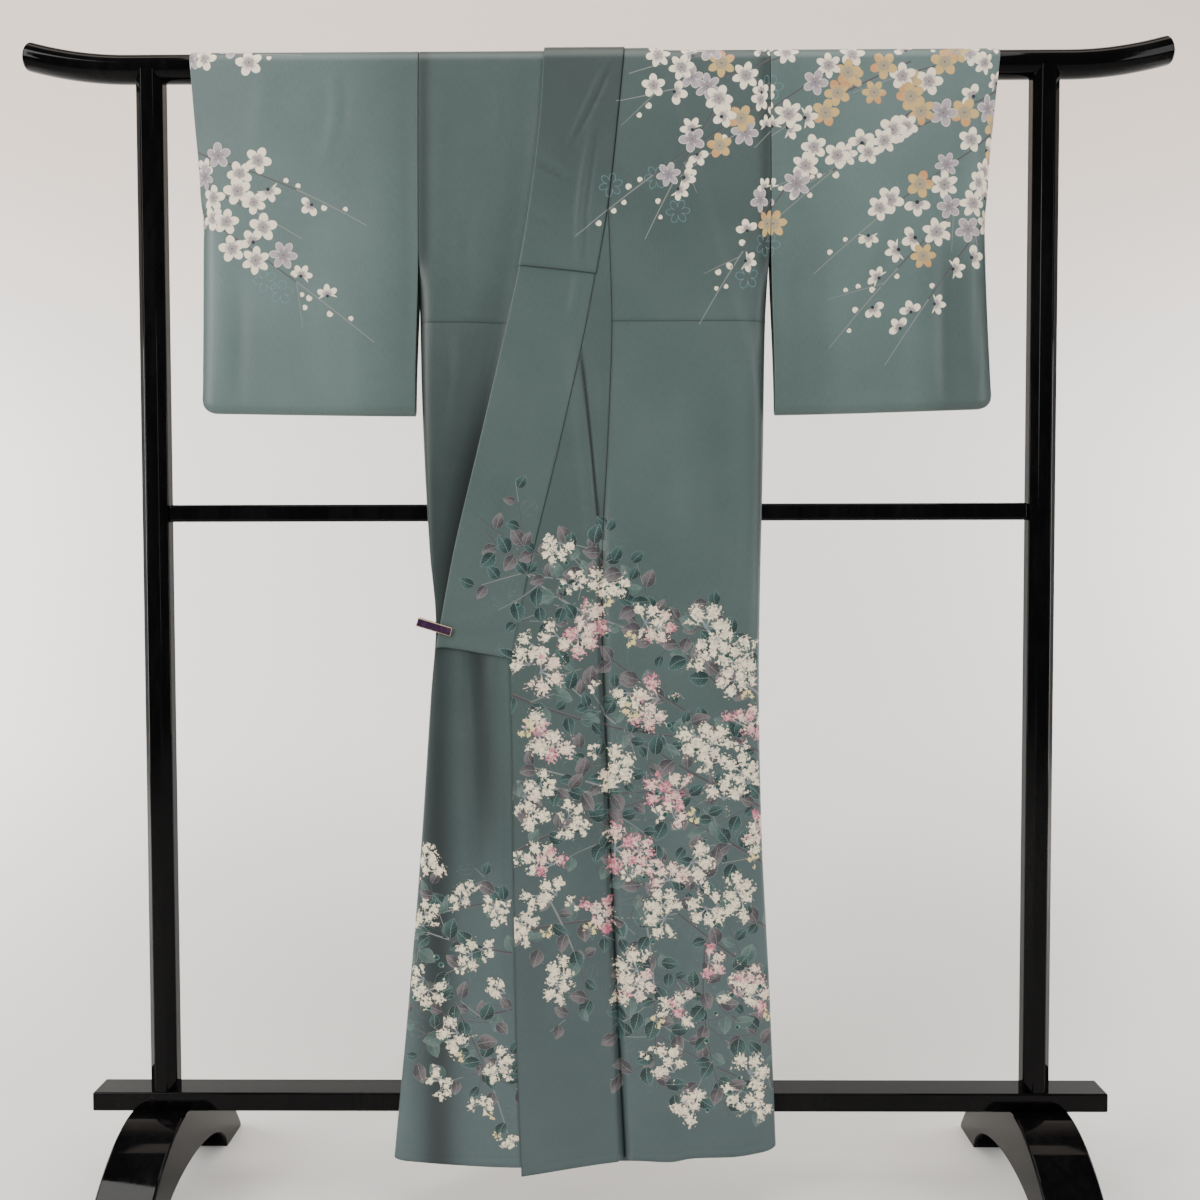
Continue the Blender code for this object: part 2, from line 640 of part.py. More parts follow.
def add_foot(name, x):
    """An arched foot, with the long edges of its top softened."""
    foot = add_prism(name, foot_outline(), FOOT_WIDTH, LACQUER)
    bm = bmesh.new()
    bm.from_mesh(foot.data)
    notch_y = BEAM_DEPTH / 2 + GAP + NORMAL_STEP
    rims = [
        rim
        for rim in bm.edges
        if all(on_foot_top(v) for v in rim.verts)
        and abs(rim.verts[0].co.x - rim.verts[1].co.x) < NORMAL_STEP
        and max(abs(v.co.y) for v in rim.verts) > notch_y
    ]
    bmesh.ops.bevel(
        bm, geom=rims, offset=FOOT_BEVEL, segments=BEVEL_SEGMENTS, profile=0.5, affect="EDGES",
    )
    bm.to_mesh(foot.data)
    bm.free()
    foot.location.x = x
    return foot


def add_clip():
    """A flat spring clip, bent over the side of the body: a bar in front, a shorter one behind."""
    half = CLIP_LENGTH / 2
    outer_front, outer_back = CLIP_FRONT_Y - CLIP_BAR, CLIP_BACK_Y + CLIP_BAR
    heel = -half + CLIP_BAR
    back_tip = -half + CLIP_BACK_LENGTH
    outline = [
        (-half, outer_front), (half, outer_front), (half, CLIP_FRONT_Y), (heel, CLIP_FRONT_Y),
        (heel, CLIP_BACK_Y), (back_tip, CLIP_BACK_Y), (back_tip, outer_back), (-half, outer_back),
    ]
    vertices = [(px, py, z) for z in (-CLIP_HEIGHT / 2, CLIP_HEIGHT / 2) for px, py in outline]
    clip = add_mesh("clip", vertices, prism_faces(len(outline)), CLIP_ENAMEL)
    clip.location = (CLIP_X, 0.0, CLIP_Z)
    clip.rotation_euler.y = CLIP_TILT
    return clip


def add_garment():
    """The kimono's ten pieces: two body strips, two overlaps, two collars, their covers, two sleeves."""
    left, right = 1, -1
    right_okumi_seam = mirrored(LEFT_OKUMI_SEAM)
    right_collar_end = tuple((MIRROR_SUM - x, down) for x, down in reversed(COLLAR_END))
    over_collar_end = ((0, OVER_COLLAR_END / MM),)
    body_left, body_right = top_front(TOP), under_front(UNDER, behind_neck=True)
    add_body(
        "body_left", body_left, LEFT_SIDE, LEFT_COLLAR_SEAM, LEFT_OKUMI_SEAM,
        (TOP_HEM, BACK_HEM), BODY_SHARES, left,
    )
    add_body(
        "body_right", body_right, RIGHT_SIDE, RIGHT_COLLAR_SEAM, right_okumi_seam,
        (UNDER_HEM, BACK_HEM), PLAIN_SHARES, right,
    )
    add_okumi(
        "okumi_left", body_left, okumi_free_edge(LEFT_COLLAR_SEAM, LEFT_OKUMI_FREE),
        lambda down: edge(LEFT_OKUMI_SEAM, down), TOP_HEM, OKUMI_SHARES,
    )
    add_okumi(
        "okumi_right", body_right, lambda down: edge(right_okumi_seam, down),
        okumi_free_edge(RIGHT_COLLAR_SEAM, RIGHT_OKUMI_FREE), UNDER_HEM, UNDER_OKUMI_SHARES,
    )
    for name, surface, tables, end_table in (
        ("collar_left", top_front(TOP), (LEFT_COLLAR_FREE, LEFT_COLLAR_SEAM), COLLAR_END),
        ("over_collar_left", top_front(TOP_COLLAR), (LEFT_COLLAR_FREE, LEFT_COLLAR_SEAM), over_collar_end),
        ("collar_right", under_front(UNDER), (RIGHT_COLLAR_SEAM, RIGHT_COLLAR_FREE), right_collar_end),
        (
            "over_collar_right", under_front(UNDER_COLLAR), (RIGHT_COLLAR_SEAM, RIGHT_COLLAR_FREE),
            over_collar_end,
        ),
    ):
        add_collar(name, surface, *tables, end_table)
    add_sleeve("sleeve_left", LEFT_CUFF, LEFT_SIDE, left)
    add_sleeve("sleeve_right", RIGHT_CUFF, RIGHT_SIDE, right)


def add_stand():
    """The stand: top rail, two posts, mid rail, base beam and two feet."""
    add_top_rail()
    for name, x in (("left", POST_X), ("right", -POST_X)):
        add_post("post_" + name, x)
        add_foot("foot_" + name, x)
    add_mid_rail()
    add_beam()


def main():
    """Clears the scene and builds the stand, the kimono and the clip that holds its fold."""
    for old in list(bpy.data.objects):
        bpy.data.objects.remove(old, do_unlink=True)
    add_stand()
    add_garment()
    add_clip()


main()
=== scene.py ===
"""A silk kimono hung on its black lacquered stand: the finish of every surface.

Metres, +Z up, the kimono's front towards -Y. Left and right are the wearer's, and the wearer's left is +X.
A place on the cloth is (x, s): x across the garment, and s the distance along the cloth from the shoulder
line, negative down the front and positive down the back. The tables give both in millimetres.
"""
import logging
import math
import random
from dataclasses import dataclass
from enum import Enum
from typing import Callable, Sequence, Union

import bmesh
import bpy
import numpy as np
from mathutils import Matrix, Vector


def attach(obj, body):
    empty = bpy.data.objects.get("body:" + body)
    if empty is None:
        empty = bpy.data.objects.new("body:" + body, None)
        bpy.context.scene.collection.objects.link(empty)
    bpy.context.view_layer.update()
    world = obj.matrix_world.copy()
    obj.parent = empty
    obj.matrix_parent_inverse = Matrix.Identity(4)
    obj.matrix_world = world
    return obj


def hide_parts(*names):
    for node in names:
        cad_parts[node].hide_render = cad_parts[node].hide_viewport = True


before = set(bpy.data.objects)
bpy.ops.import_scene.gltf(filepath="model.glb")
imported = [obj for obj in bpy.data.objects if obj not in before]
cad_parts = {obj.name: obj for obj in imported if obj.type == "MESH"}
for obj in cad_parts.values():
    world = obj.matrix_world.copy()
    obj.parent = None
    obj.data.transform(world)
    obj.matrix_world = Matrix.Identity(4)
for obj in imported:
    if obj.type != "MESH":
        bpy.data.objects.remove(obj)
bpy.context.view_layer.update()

LOG = logging.getLogger("kimono")
MM = 0.001
Array = np.ndarray
Pair, Triple = tuple[float, float], tuple[float, float, float]
Rows, Colour = tuple[Pair, ...], Triple
Piece, Material, Work = bpy.types.Object, bpy.types.Material, bmesh.types.BMesh
Node, NodeTree, Socket = bpy.types.Node, bpy.types.NodeTree, bpy.types.NodeSocket

# ---------------------------------------------------------------- the hang of the cloth, as in the solids
RAIL_AXIS_Z, RAIL_RADIUS = 1.594, 0.019
WALL, GAP, RAIL_CLEARANCE = 0.0012, 0.0003, 0.00045
UNDER, UNDER_COLLAR, TOP, TOP_COLLAR = (RAIL_CLEARANCE + WALL / 2 + k * (WALL + GAP) for k in range(4))
QUARTER_TURN = RAIL_RADIUS * math.pi / 2
CENTRE_BACK_X = -0.003
SLEEVE_SEAM_END, SIDE_SEAM_START = 0.274, 0.385
SIDE_TURN, CUFF_TURN, SLEEVE_HEM_TURN = 0.020, 0.020, 0.012
SEAM_TURN = 0.030
CUFF_CLOSES = (0.205, 0.255)
NECK_S, NECK_STEP = RAIL_RADIUS * math.radians(75), 0.0006
OKUMI_TIP, OKUMI_FREE_START = 0.230, 0.847
FURI_START, FURI_LEAN, FURI_LEAN_FULL = 0.246, 0.006, 0.50
MIRROR_SUM = -6


@dataclass(frozen=True)
class Line:
    """A smooth line through a short table of (place, value) rows in millimetres."""

    rows: Rows

    def at(self, where: Array | float) -> Array:
        """Reads the line.

        Args:
            where: Places, in metres.

        Returns:
            The values there, in metres.
        """
        xs, ys = np.array(self.rows, float).T
        x = np.clip(np.asarray(where, float) / MM, xs[0], xs[-1])
        if len(xs) == 1:
            return np.full_like(x, ys[0] * MM)
        index = np.arange(len(xs))
        low, high = np.maximum(index - 1, 0), np.minimum(index + 1, len(xs) - 1)
        slope = (ys[high] - ys[low]) / (xs[high] - xs[low])
        k = np.clip(np.searchsorted(xs, x, side="left") - 1, 0, len(xs) - 2)
        span = xs[k + 1] - xs[k]
        t = (x - xs[k]) / span
        ends = ys[k] * (1 + 2 * t) * (1 - t) ** 2 + ys[k + 1] * t * t * (3 - 2 * t)
        return (ends + slope[k] * span * t * (1 - t) ** 2 + slope[k + 1] * span * t * t * (t - 1)) * MM

    def mirrored(self) -> "Line":
        """The same edge as it lies on the right front."""
        return Line(tuple((down, MIRROR_SUM - x) for down, x in self.rows))


LEFT_SIDE = Line((
    (0, 238), (246, 240), (385, 233), (550, 230), (870, 224), (1100, 228), (1300, 238), (1540, 248),
))
LEFT_OKUMI_SEAM = Line(
    ((223, 16), (300, 19), (400, 21), (550, 15), (700, 7), (830, 7), (1000, 13), (1300, 25), (1560, 37))
)
LEFT_OKUMI_FREE = Line(((845, -122), (1000, -119), (1200, -117), (1400, -114), (1575, -107)))
LEFT_COLLAR_SEAM = Line(
    ((0, 40), (100, 30), (223, 16), (300, 2), (400, -17), (550, -51), (700, -88), (850, -122))
)
LEFT_COLLAR_FREE = Line(
    ((0, -71), (100, -77), (200, -89), (300, -105), (400, -127), (550, -163), (700, -199), (835, -224))
)
RIGHT_SIDE = Line((
    (0, -244), (274, -246), (383, -245), (520, -242), (700, -233), (800, -225), (900, -232),
    (1130, -248), (1350, -267), (1555, -287),
))
RIGHT_COLLAR_SEAM = Line(
    ((0, -46), (100, -36), (223, -22), (300, -8), (400, 11), (550, 43), (700, 77), (850, 105))
)
RIGHT_COLLAR_FREE = Line(
    ((0, 65), (100, 71), (200, 82), (300, 98), (400, 119), (550, 151), (700, 184), (835, 205))
)
RIGHT_OKUMI_SEAM = LEFT_OKUMI_SEAM.mirrored()
RIGHT_OKUMI_FREE = Line(((845, 105), (1000, 103), (1229, 99), (1450, 90), (1575, 79)))
TOP_HEM = Line(((-130, 1576), (-107, 1573), (36, 1551), (101, 1552), (130, 1547), (195, 1544), (250, 1533)))
UNDER_HEM = Line(((-290, 1551), (-206, 1558), (-110, 1562), (2, 1558), (110, 1558)))
BACK_HEM = Line(((-290, 1551), (-3, 1544), (250, 1533)))
LEFT_COLLAR_END = Line(((-230, 835), (-211, 835), (-118, 850)))
RIGHT_COLLAR_END = Line(((112, 850), (205, 835), (224, 835)))
LEFT_COVER_END = Line(((-110, 308), (-27, 317), (5, 321)))
RIGHT_COVER_END = Line(((-8, 314), (104, 314)))
RIGHT_CUFF = Line(((0, -561), (100, -554), (196, -547), (310, -547), (520, -549)))
LEFT_CUFF = Line(((0, 555), (100, 545), (200, 537), (315, 538), (520, 547)))
SLEEVE_HEM = Line(((-560, 508), (-244, 513), (244, 513), (560, 505)))
SLEEVE_CORNER = Line(((0, 17), (2, 10), (7, 3.5), (15, 0), (30, 0)))
FRONT_LEAN = Line(((30, 0), (400, 0.3), (650, 2.4), (1000, 10), (1460, 18), (1600, 19.5)))
BACK_LEAN = Line((
    (30, 0), (150, 5.5), (300, 14), (450, 22.5), (600, 30.6), (647, 32.4), (720, 33.2), (1000, 36.8),
    (1300, 40.5), (1440, 42.4), (1500, 42.7), (1600, 43),
))
PLEAT = Line(((540, 0), (650, 2.5), (760, 7.5), (900, 9.5), (1000, 11), (1460, 13)))
PLEAT_HALF_WIDTH, PLEAT_SHARPNESS = 0.014, 2.2
LEAST_DEPTH = 0.0030
RECESS_ACROSS = (-0.100, -0.035)
COLLAR_STEP_X, COLLAR_STEP_WIDTH, COLLAR_STEP_SPREAD = 0.074, 0.025, 0.30
COVERED_EDGE = (0.020, 0.003)
FREE_BLEND = 0.03
NECK_RISES, NECK_SETTLES, NECK_RISE_X = (0.005, 0.025), (0.030, 0.100), -0.060
PINCH_X, PINCH_DOWN, PINCH_ACROSS, PINCH_ALONG, PINCH_SHARE = -0.222, 0.807, 0.060, 0.075, 0.85


class Side(Enum):
    """The wearer's side. Its value is the direction outwards along X."""

    LEFT = 1
    RIGHT = -1


def side_of(node: str) -> Side:
    """The side that a piece's name ends in."""
    return Side[node.rsplit("_", 1)[-1].upper()]


@dataclass(frozen=True)
class OkumiEdge:
    """An overlap panel's inner edge: a seam beside the collar, and a free edge below the collar's end."""

    seam: Line
    free: Line

    def at(self, down: Array) -> Array:
        """The edge's x at a distance down."""
        return np.where(down < OKUMI_FREE_START, self.seam.at(down), self.free.at(down))


@dataclass(frozen=True)
class Fold:
    """A long vertical fold. Lengths in millimetres; its height is over 0 where it stands out."""

    x_top: float
    x_hem: float
    half_width: float
    height: float
    start: float
    full: float
    fade: float
    end: float

    def relief(self, x: Array, down: Array) -> Array:
        """How far the fold stands out at a place.

        Args:
            x: Across the garment, in metres.
            down: Down from the shoulder line, in metres.

        Returns:
            Heights, in metres.
        """
        level = down / MM
        middle = self.x_top + (self.x_hem - self.x_top) * np.minimum(level / HEM_LEVEL, 1.0)
        along = ramp(level, self.start, self.full) * (1 - ramp(level, self.fade, self.end))
        return self.height * MM * dip(x / MM - middle, self.half_width) * along


@dataclass(frozen=True)
class Crease:
    """A soft ridge, or a trough where its height is below 0, along a path of (x, down). In millimetres."""

    path: Rows
    width: float
    height: float

    def relief(self, x: Array, down: Array) -> Array:
        """How far the crease stands out at a place.

        Args:
            x: Across the garment, in metres.
            down: Down from the shoulder line, in metres.

        Returns:
            Heights, in metres.
        """
        px, py = x / MM, down / MM
        best = np.full(px.shape, np.inf)
        along = np.zeros(px.shape)
        lengths = [math.dist(a, b) for a, b in zip(self.path, self.path[1:])]
        before = 0.0
        for (ax, ay), (bx, by), length in zip(self.path, self.path[1:], lengths):
            t = np.clip(((px - ax) * (bx - ax) + (py - ay) * (by - ay)) / length ** 2, 0.0, 1.0)
            gap = np.hypot(px - ax - t * (bx - ax), py - ay - t * (by - ay))
            nearer = gap < best
            best = np.where(nearer, gap, best)
            along = np.where(nearer, before + t * length, along)
            before += length
        strength = np.sqrt(np.sin(np.pi * np.clip(along / before, 0.02, 0.98)))
        return self.height * MM * np.exp(-((best / self.width) ** 2)) * strength


def crease_table(*rows: tuple) -> tuple[Crease, ...]:
    """Creases, from rows of their width, their height and the places along their path."""
    return tuple(Crease(tuple(path), width, height) for width, height, *path in rows)


HEM_LEVEL = 1560
UNDER_FOLDS = (
    Fold(-172, -160, 24, -5.5, 790, 860, 1000, 1360),
    Fold(-228, -250, 17, 0.8, 830, 900, 1200, 1480),
    Fold(-128, -130, 15, 1.2, 860, 930, 1250, 1500),
)
BACK_FOLDS = tuple(Fold(top, hem, 34, -5, 900, 1120, 2000, 3000) for top, hem in ((-112, -120), (165, 178)))
# Creases of the top layer: collar, left overlap and left body, from the shoulder to the hem.
TOP_CREASES = crease_table(
    (3.4, -1.3, (24, 30), (4, 74), (-14, 110), (-31, 142)),
    (3.4, 1.0, (17, 30), (-4, 74), (-22, 110), (-39, 144)),
    (4.5, 1.3, (-6, 120), (-17, 175), (-24, 225), (-26, 275), (-24, 314)),
    (4.5, -1.3, (2, 128), (-7, 182), (-14, 232), (-17, 312)),
    (3.2, 1.5, (-86, 158), (-70, 170), (-50, 182), (-30, 192)),
    (3.6, -1.3, (-86, 166), (-68, 180), (-46, 192)), (3.0, 0.7, (-102, 230), (-80, 238), (-58, 250)),
    (6, 1.2, (-27, 318), (-30, 346), (-38, 382)),
    (3.6, -1.5, (-25, 405), (-17, 470), (-9, 545), (-3, 610), (2, 672), (6, 770)),
    (8, 1.2, (-38, 420), (-30, 480), (-22, 550), (-15, 620), (-9, 700)),
    (6, 0.5, (2, 440), (6, 540), (10, 640)), (6, 0.5, (48, 205), (56, 245), (60, 285)),
    (15, 0.55, (108, 430), (116, 560), (112, 720)), (18, -0.6, (158, 470), (170, 640), (166, 820)),
    (11, 0.5, (204, 420), (196, 560), (202, 700)), (5, -0.5, (196, 620), (190, 690), (186, 760)),
    (16, -0.5, (-110, 520), (-120, 620), (-150, 720)), (7, 0.55, (-214, 800), (-160, 790), (-90, 760)),
    (7, -0.55, (-214, 812), (-165, 816), (-120, 812)), (5, 0.45, (-214, 818), (-170, 832), (-122, 838)),
    (24, 0.9, (130, 900), (136, 1100), (150, 1300), (160, 1500)),
    (20, -0.7, (70, 960), (76, 1180), (84, 1400)), (22, 0.8, (-40, 930), (-44, 1150), (-38, 1400)),
    (16, -0.6, (-86, 1000), (-88, 1250), (-84, 1480)), (14, -0.7, (20, 1490), (-30, 1515), (-80, 1530)),
    (16, -0.7, (60, 1480), (120, 1500), (190, 1496)),
)
UNDER_CREASES = crease_table(
    (17, -2.6, (-92, 60), (-98, 180), (-118, 300), (-138, 400)),
    (24, -11.0, (-124, 330), (-148, 440), (-163, 520), (-188, 640), (-208, 750), (-217, 806)),
    (11, -4.0, (-174, 835), (-168, 940), (-160, 1160)), (12, 0.6, (-214, 60), (-216, 240), (-222, 420)),
    (6, 0.5, (-139, 60), (-133, 96), (-140, 130)), (9, -0.5, (-176, 230), (-178, 300), (-174, 356)),
    (7, 0.6, (-192, 392), (-188, 440), (-196, 500)), (7, -0.6, (-206, 400), (-204, 470), (-212, 540)),
    (8, 0.9, (-236, 560), (-229, 680), (-221, 780)), (18, -1.0, (-200, 1180), (-214, 1340), (-226, 1500)),
)
LEFT_SLEEVE_CREASES = crease_table(
    (13, -1.1, (412, 235), (394, 290), (372, 345)), (9, -1.5, (478, 270), (477, 380), (480, 505)),
    (12, 0.7, (463, 290), (462, 400), (464, 500)),
    (10, 1.5, (515, 70), (511, 170), (513, 300), (512, 400), (520, 470)),
    (6, -0.8, (528, 120), (526, 260), (527, 400)), (6, 0.8, (536, 400), (534, 450), (524, 490)),
    (9, 0.9, (258, 120), (257, 260), (256, 400), (258, 500)),
    (14, -0.7, (300, 250), (304, 380), (300, 500)), (14, 0.6, (335, 280), (331, 400), (336, 500)),
    (14, 0.5, (430, 330), (424, 420), (428, 505)), (16, 0.5, (440, 40), (436, 100), (440, 170)),
    (10, -0.7, (500, 40), (498, 120), (494, 190)),
)
RIGHT_SLEEVE_CREASES = crease_table(
    (8, 0.8, (-364, 40), (-358, 80), (-362, 120), (-378, 165)),
    (7, -0.6, (-352, 40), (-346, 84), (-350, 130)), (12, -1.0, (-494, 330), (-494, 410), (-498, 500)),
    (12, 0.8, (-516, 250), (-520, 360), (-520, 480)), (14, 0.5, (-452, 30), (-462, 90), (-470, 150)),
    (20, 0.6, (-300, 120), (-304, 300), (-296, 480)), (24, -0.6, (-400, 260), (-408, 380), (-400, 500)),
    (12, 0.6, (-340, 360), (-330, 430), (-334, 505)), (9, -0.6, (-262, 60), (-260, 260), (-262, 470)),
)
BACK_CREASES = crease_table(
    (22, 0.8, (-60, 120), (-66, 400), (-60, 700)), (24, 0.8, (70, 160), (74, 460), (66, 800)),
    (16, -0.6, (150, 90), (160, 300), (154, 520)), (16, -0.6, (-170, 100), (-178, 340), (-170, 600)),
    (24, 1.2, (-190, 900), (-204, 1200), (-214, 1480)), (26, 1.2, (40, 900), (44, 1200), (50, 1480)),
    (20, -0.9, (-44, 800), (-40, 1100), (-42, 1400)),
)
SLEEVE_BACK_CREASES = crease_table(
    (18, 0.7, (300, 60), (306, 260), (300, 470)), (20, -0.8, (400, 120), (392, 300), (400, 490)),
    (16, 0.7, (480, 60), (486, 240), (480, 460)), (10, -0.6, (520, 260), (516, 380), (520, 480)),
)
# The tuck across both fronts, and the small puckers that its stitches draw below it.
TUCK_DOWN, TUCK_WIDTH, TUCK_DEPTH = 0.385, 0.0011, 0.0003
OKUMI_SEAM_AT_TUCK = (0.018, 0.022)
PUCKER_DEPTH, PUCKER_LENGTH, PUCKER_WAVE, PUCKER_STARTS = 0.00022, 0.012, 0.0085, 0.002
PUCKER_DRIFT, PUCKER_DRIFT_RATE, PUCKER_SWELL_RATE = 2.1, 61, 173
HEM_ROLL_UP, HEM_ROLL_WIDTH, HEM_ROLL_DEPTH = 0.013, 0.0018, 0.0004


def ramp(value: Array, low: Array | float, high: Array | float) -> Array:
    """0 below low and 1 above high, smooth between."""
    t = np.clip((value - low) / (high - low), 0.0, 1.0)
    return t * t * (3 - 2 * t)


def dip(distance: Array, half_width: float) -> Array:
    """1 in the middle of a fold and 0 past its half width."""
    return (1 + np.cos(np.pi * np.minimum(np.abs(distance) / half_width, 1.0))) / 2


def total_relief(parts: Sequence[Fold | Crease], x: Array, down: Array) -> Array:
    """The sum of some folds and creases at a place."""
    return sum((part.relief(x, down) for part in parts), np.zeros(np.broadcast(x, down).shape))


def hang(x: Array, s: Array, layer: Array | float, fold: Array | float, closing: Array | float) -> Array:
    """Bends cloth over the rail and hangs it from there.

    Args:
        x: Across the garment, in metres.
        s: Along the cloth from the shoulder line, in metres.
        layer: The wall's middle, out from the rail's surface.
        fold: How far a fold stands out.
        closing: The share of the depth that is left where front and back meet.

    Returns:
        Points, with the coordinates on the last axis.
    """
    down = np.abs(s)
    angle = s / RAIL_RADIUS
    radius = RAIL_RADIUS + layer + fold
    surface = RAIL_RADIUS + UNDER
    front, back = -surface - FRONT_LEAN.at(down), surface - BACK_LEAN.at(down)
    across = (x - PINCH_X) / PINCH_ACROSS
    along = (down - PINCH_DOWN) / PINCH_ALONG
    pinch = 1 - PINCH_SHARE * np.exp(-across * across - along * along)
    half = (back - front) / 2 * pinch
    room = np.maximum(2 * half - LEAST_DEPTH, 0.0)
    fold = np.where(fold < 0, -room * np.tanh(-fold / np.maximum(room, MM)), fold)
    depth = (half + layer - UNDER + fold) * closing
    facing = np.where(s < 0, -1.0, 1.0)
    over = down < QUARTER_TURN
    y = np.where(over, radius * np.sin(angle), (front + back) / 2 + facing * depth)
    z = np.where(over, RAIL_AXIS_Z + radius * np.cos(angle), RAIL_AXIS_Z - (down - QUARTER_TURN))
    return np.stack(np.broadcast_arrays(x, y, z), axis=-1)


def turned(across: Array, side_x: Array, outward: int, closed: Array, radius: float) -> tuple[Array, Array]:
    """Bends cloth round a side edge.

    Args:
        across: Places along the cloth, as x would be if it lay flat.
        side_x: The edge's x.
        outward: The direction out, along X.
        closed: The share to which the edge is sewn shut.
        radius: How far before the edge the turn starts.

    Returns:
        The x of each place, and the share of the depth that is left.
    """
    start = side_x - outward * radius
    past = np.maximum((across - start) * outward, 0.0)
    angle = past / radius
    reach = (1 - closed) * angle / (math.pi / 2) + closed * np.sin(angle)
    x = np.where(past > 0, start + outward * radius * reach, across)
    return x, np.where(past > 0, 1 - closed + closed * np.cos(angle), 1.0)


Surface = Callable[[Array, Array], Array]


def tuck(x: Array, down: Array) -> Array:
    """The tuck sewn across a front, with its puckers.

    Args:
        x: Across the garment, in metres.
        down: Down from the shoulder line, in metres.

    Returns:
        Heights, in metres.
    """
    line = -TUCK_DEPTH * np.exp(-(((down - TUCK_DOWN) / TUCK_WIDTH) ** 2))
    drift = PUCKER_DRIFT * np.sin(x * PUCKER_DRIFT_RATE)
    wave = np.sin(x / PUCKER_WAVE * math.tau + drift) * np.cos(x * PUCKER_SWELL_RATE)
    below = np.where(down > TUCK_DOWN, np.exp(-(((down - TUCK_DOWN) / PUCKER_LENGTH) ** 2)), 0.0)
    return line + PUCKER_DEPTH * wave * below * ramp(down, TUCK_DOWN, TUCK_DOWN + PUCKER_STARTS)


def hem_roll(down: Array, hem: Array) -> Array:
    """The groove of the stitched hem, a finger's width above the edge."""
    return -HEM_ROLL_DEPTH * np.exp(-(((hem - down - HEM_ROLL_UP) / HEM_ROLL_WIDTH) ** 2))


def free_share(down: Array) -> Array:
    """0 on the rail, and 1 where the cloth hangs free of it and may fold."""
    return ramp(down, QUARTER_TURN, QUARTER_TURN + FREE_BLEND)


def top_relief(x: Array, down: Array) -> Array:
    """The creases of everything that lies on top in front."""
    return total_relief(TOP_CREASES, x, down)


def back_relief(x: Array, down: Array) -> Array:
    """How far the folds, the creases, the tuck and the hem behind the rail stand out."""
    folds = (total_relief(BACK_FOLDS, x, down) + total_relief(BACK_CREASES, x, down)) * free_share(down)
    return folds + (tuck(x, down) + hem_roll(down, BACK_HEM.at(x)))


def turned_side(across: Array, down: Array, side: Side) -> tuple[Array, Array]:
    """Bends the body's cloth round its side, which is sewn shut below the sleeve.

    Args:
        across: Places along the cloth, as x would be if it lay flat.
        down: Down from the shoulder line, in metres.
        side: The wearer's side.

    Returns:
        The x of each place, and the share of the depth that is left.
    """
    edge = LEFT_SIDE if side is Side.LEFT else RIGHT_SIDE
    sewn = ramp(down, SLEEVE_SEAM_END, SIDE_SEAM_START)
    return turned(across, edge.at(down), side.value, sewn, SIDE_TURN)


def top_front(layer: float) -> Surface:
    """The left front, which lies on top, with the cloth behind the rail that continues it.

    Args:
        layer: The wall's middle, out from the rail's surface.

    Returns:
        The rule that gives its points.
    """

    def point(across: Array, s: Array) -> Array:
        """Gives the points of some places on the cloth.

        Args:
            across: Places along the cloth, as x would be if it lay flat.
            s: Along the cloth from the shoulder line, in metres.

        Returns:
            Points, with the coordinates on the last axis.
        """
        down = np.abs(s)
        x, depth = turned_side(across, down, Side.LEFT)
        step = COLLAR_STEP_X + COLLAR_STEP_SPREAD * down
        front_lift = 1 - ramp(x, step, step + COLLAR_STEP_WIDTH)
        back_lift = 1 - ramp(x, COLLAR_STEP_X, COLLAR_STEP_X + COLLAR_STEP_WIDTH)
        back_lift *= 1 - ramp(s, *NECK_SETTLES)
        pleat = -PLEAT.at(down) * dip(x - LEFT_OKUMI_SEAM.at(down), PLEAT_HALF_WIDTH) ** PLEAT_SHARPNESS
        front = pleat + (top_relief(x, down) + hem_roll(down, TOP_HEM.at(x))) * free_share(down)
        front += tuck(x, down) * ramp(x, *OKUMI_SEAM_AT_TUCK)
        fold = np.where(s < 0, front, back_relief(x, down))
        lift = np.where(s < 0, front_lift, back_lift)
        return hang(x, s, layer - (TOP - UNDER) * (1 - lift), fold, depth)

    return point


def under_front(layer: float, behind_neck: bool = False) -> Surface:
    """The right front, which lies beneath, with the cloth behind the rail that continues it.

    Args:
        layer: The wall's middle, out from the rail's surface.
        behind_neck: Whether the cloth rises to the upper layer behind the neck.

    Returns:
        The rule that gives its points.
    """
    cover = OkumiEdge(LEFT_COLLAR_FREE, LEFT_OKUMI_FREE)

    def point(across: Array, s: Array) -> Array:
        """Gives the points of some places on the cloth.

        Args:
            across: Places along the cloth, as x would be if it lay flat.
            s: Along the cloth from the shoulder line, in metres.

        Returns:
            Points, with the coordinates on the last axis.
        """
        down = np.abs(s)
        x, depth = turned_side(across, down, Side.RIGHT)
        covered = ramp(x, *(cover.at(down) - before for before in COVERED_EDGE))
        own = total_relief(UNDER_FOLDS, x, down) + total_relief(UNDER_CREASES, x, down)
        own = np.where(covered > 0, np.minimum(own, own * (1 - covered)), own)
        own += np.minimum(top_relief(x, down), 0.0) * covered + hem_roll(down, UNDER_HEM.at(x))
        own += tuck(x, down) * (1 - covered)
        front = own * free_share(down) - PLEAT.at(down) * ramp(x, *RECESS_ACROSS)
        raised = np.full(x.shape, layer)
        if behind_neck:
            neck = ramp(s, *NECK_RISES) * (1 - ramp(s, *NECK_SETTLES)) * ramp(x, NECK_RISE_X, CENTRE_BACK_X)
            raised = raised + (TOP - UNDER) * neck
        return hang(x, s, raised, np.where(s < 0, front, back_relief(x, down)), depth)

    return point


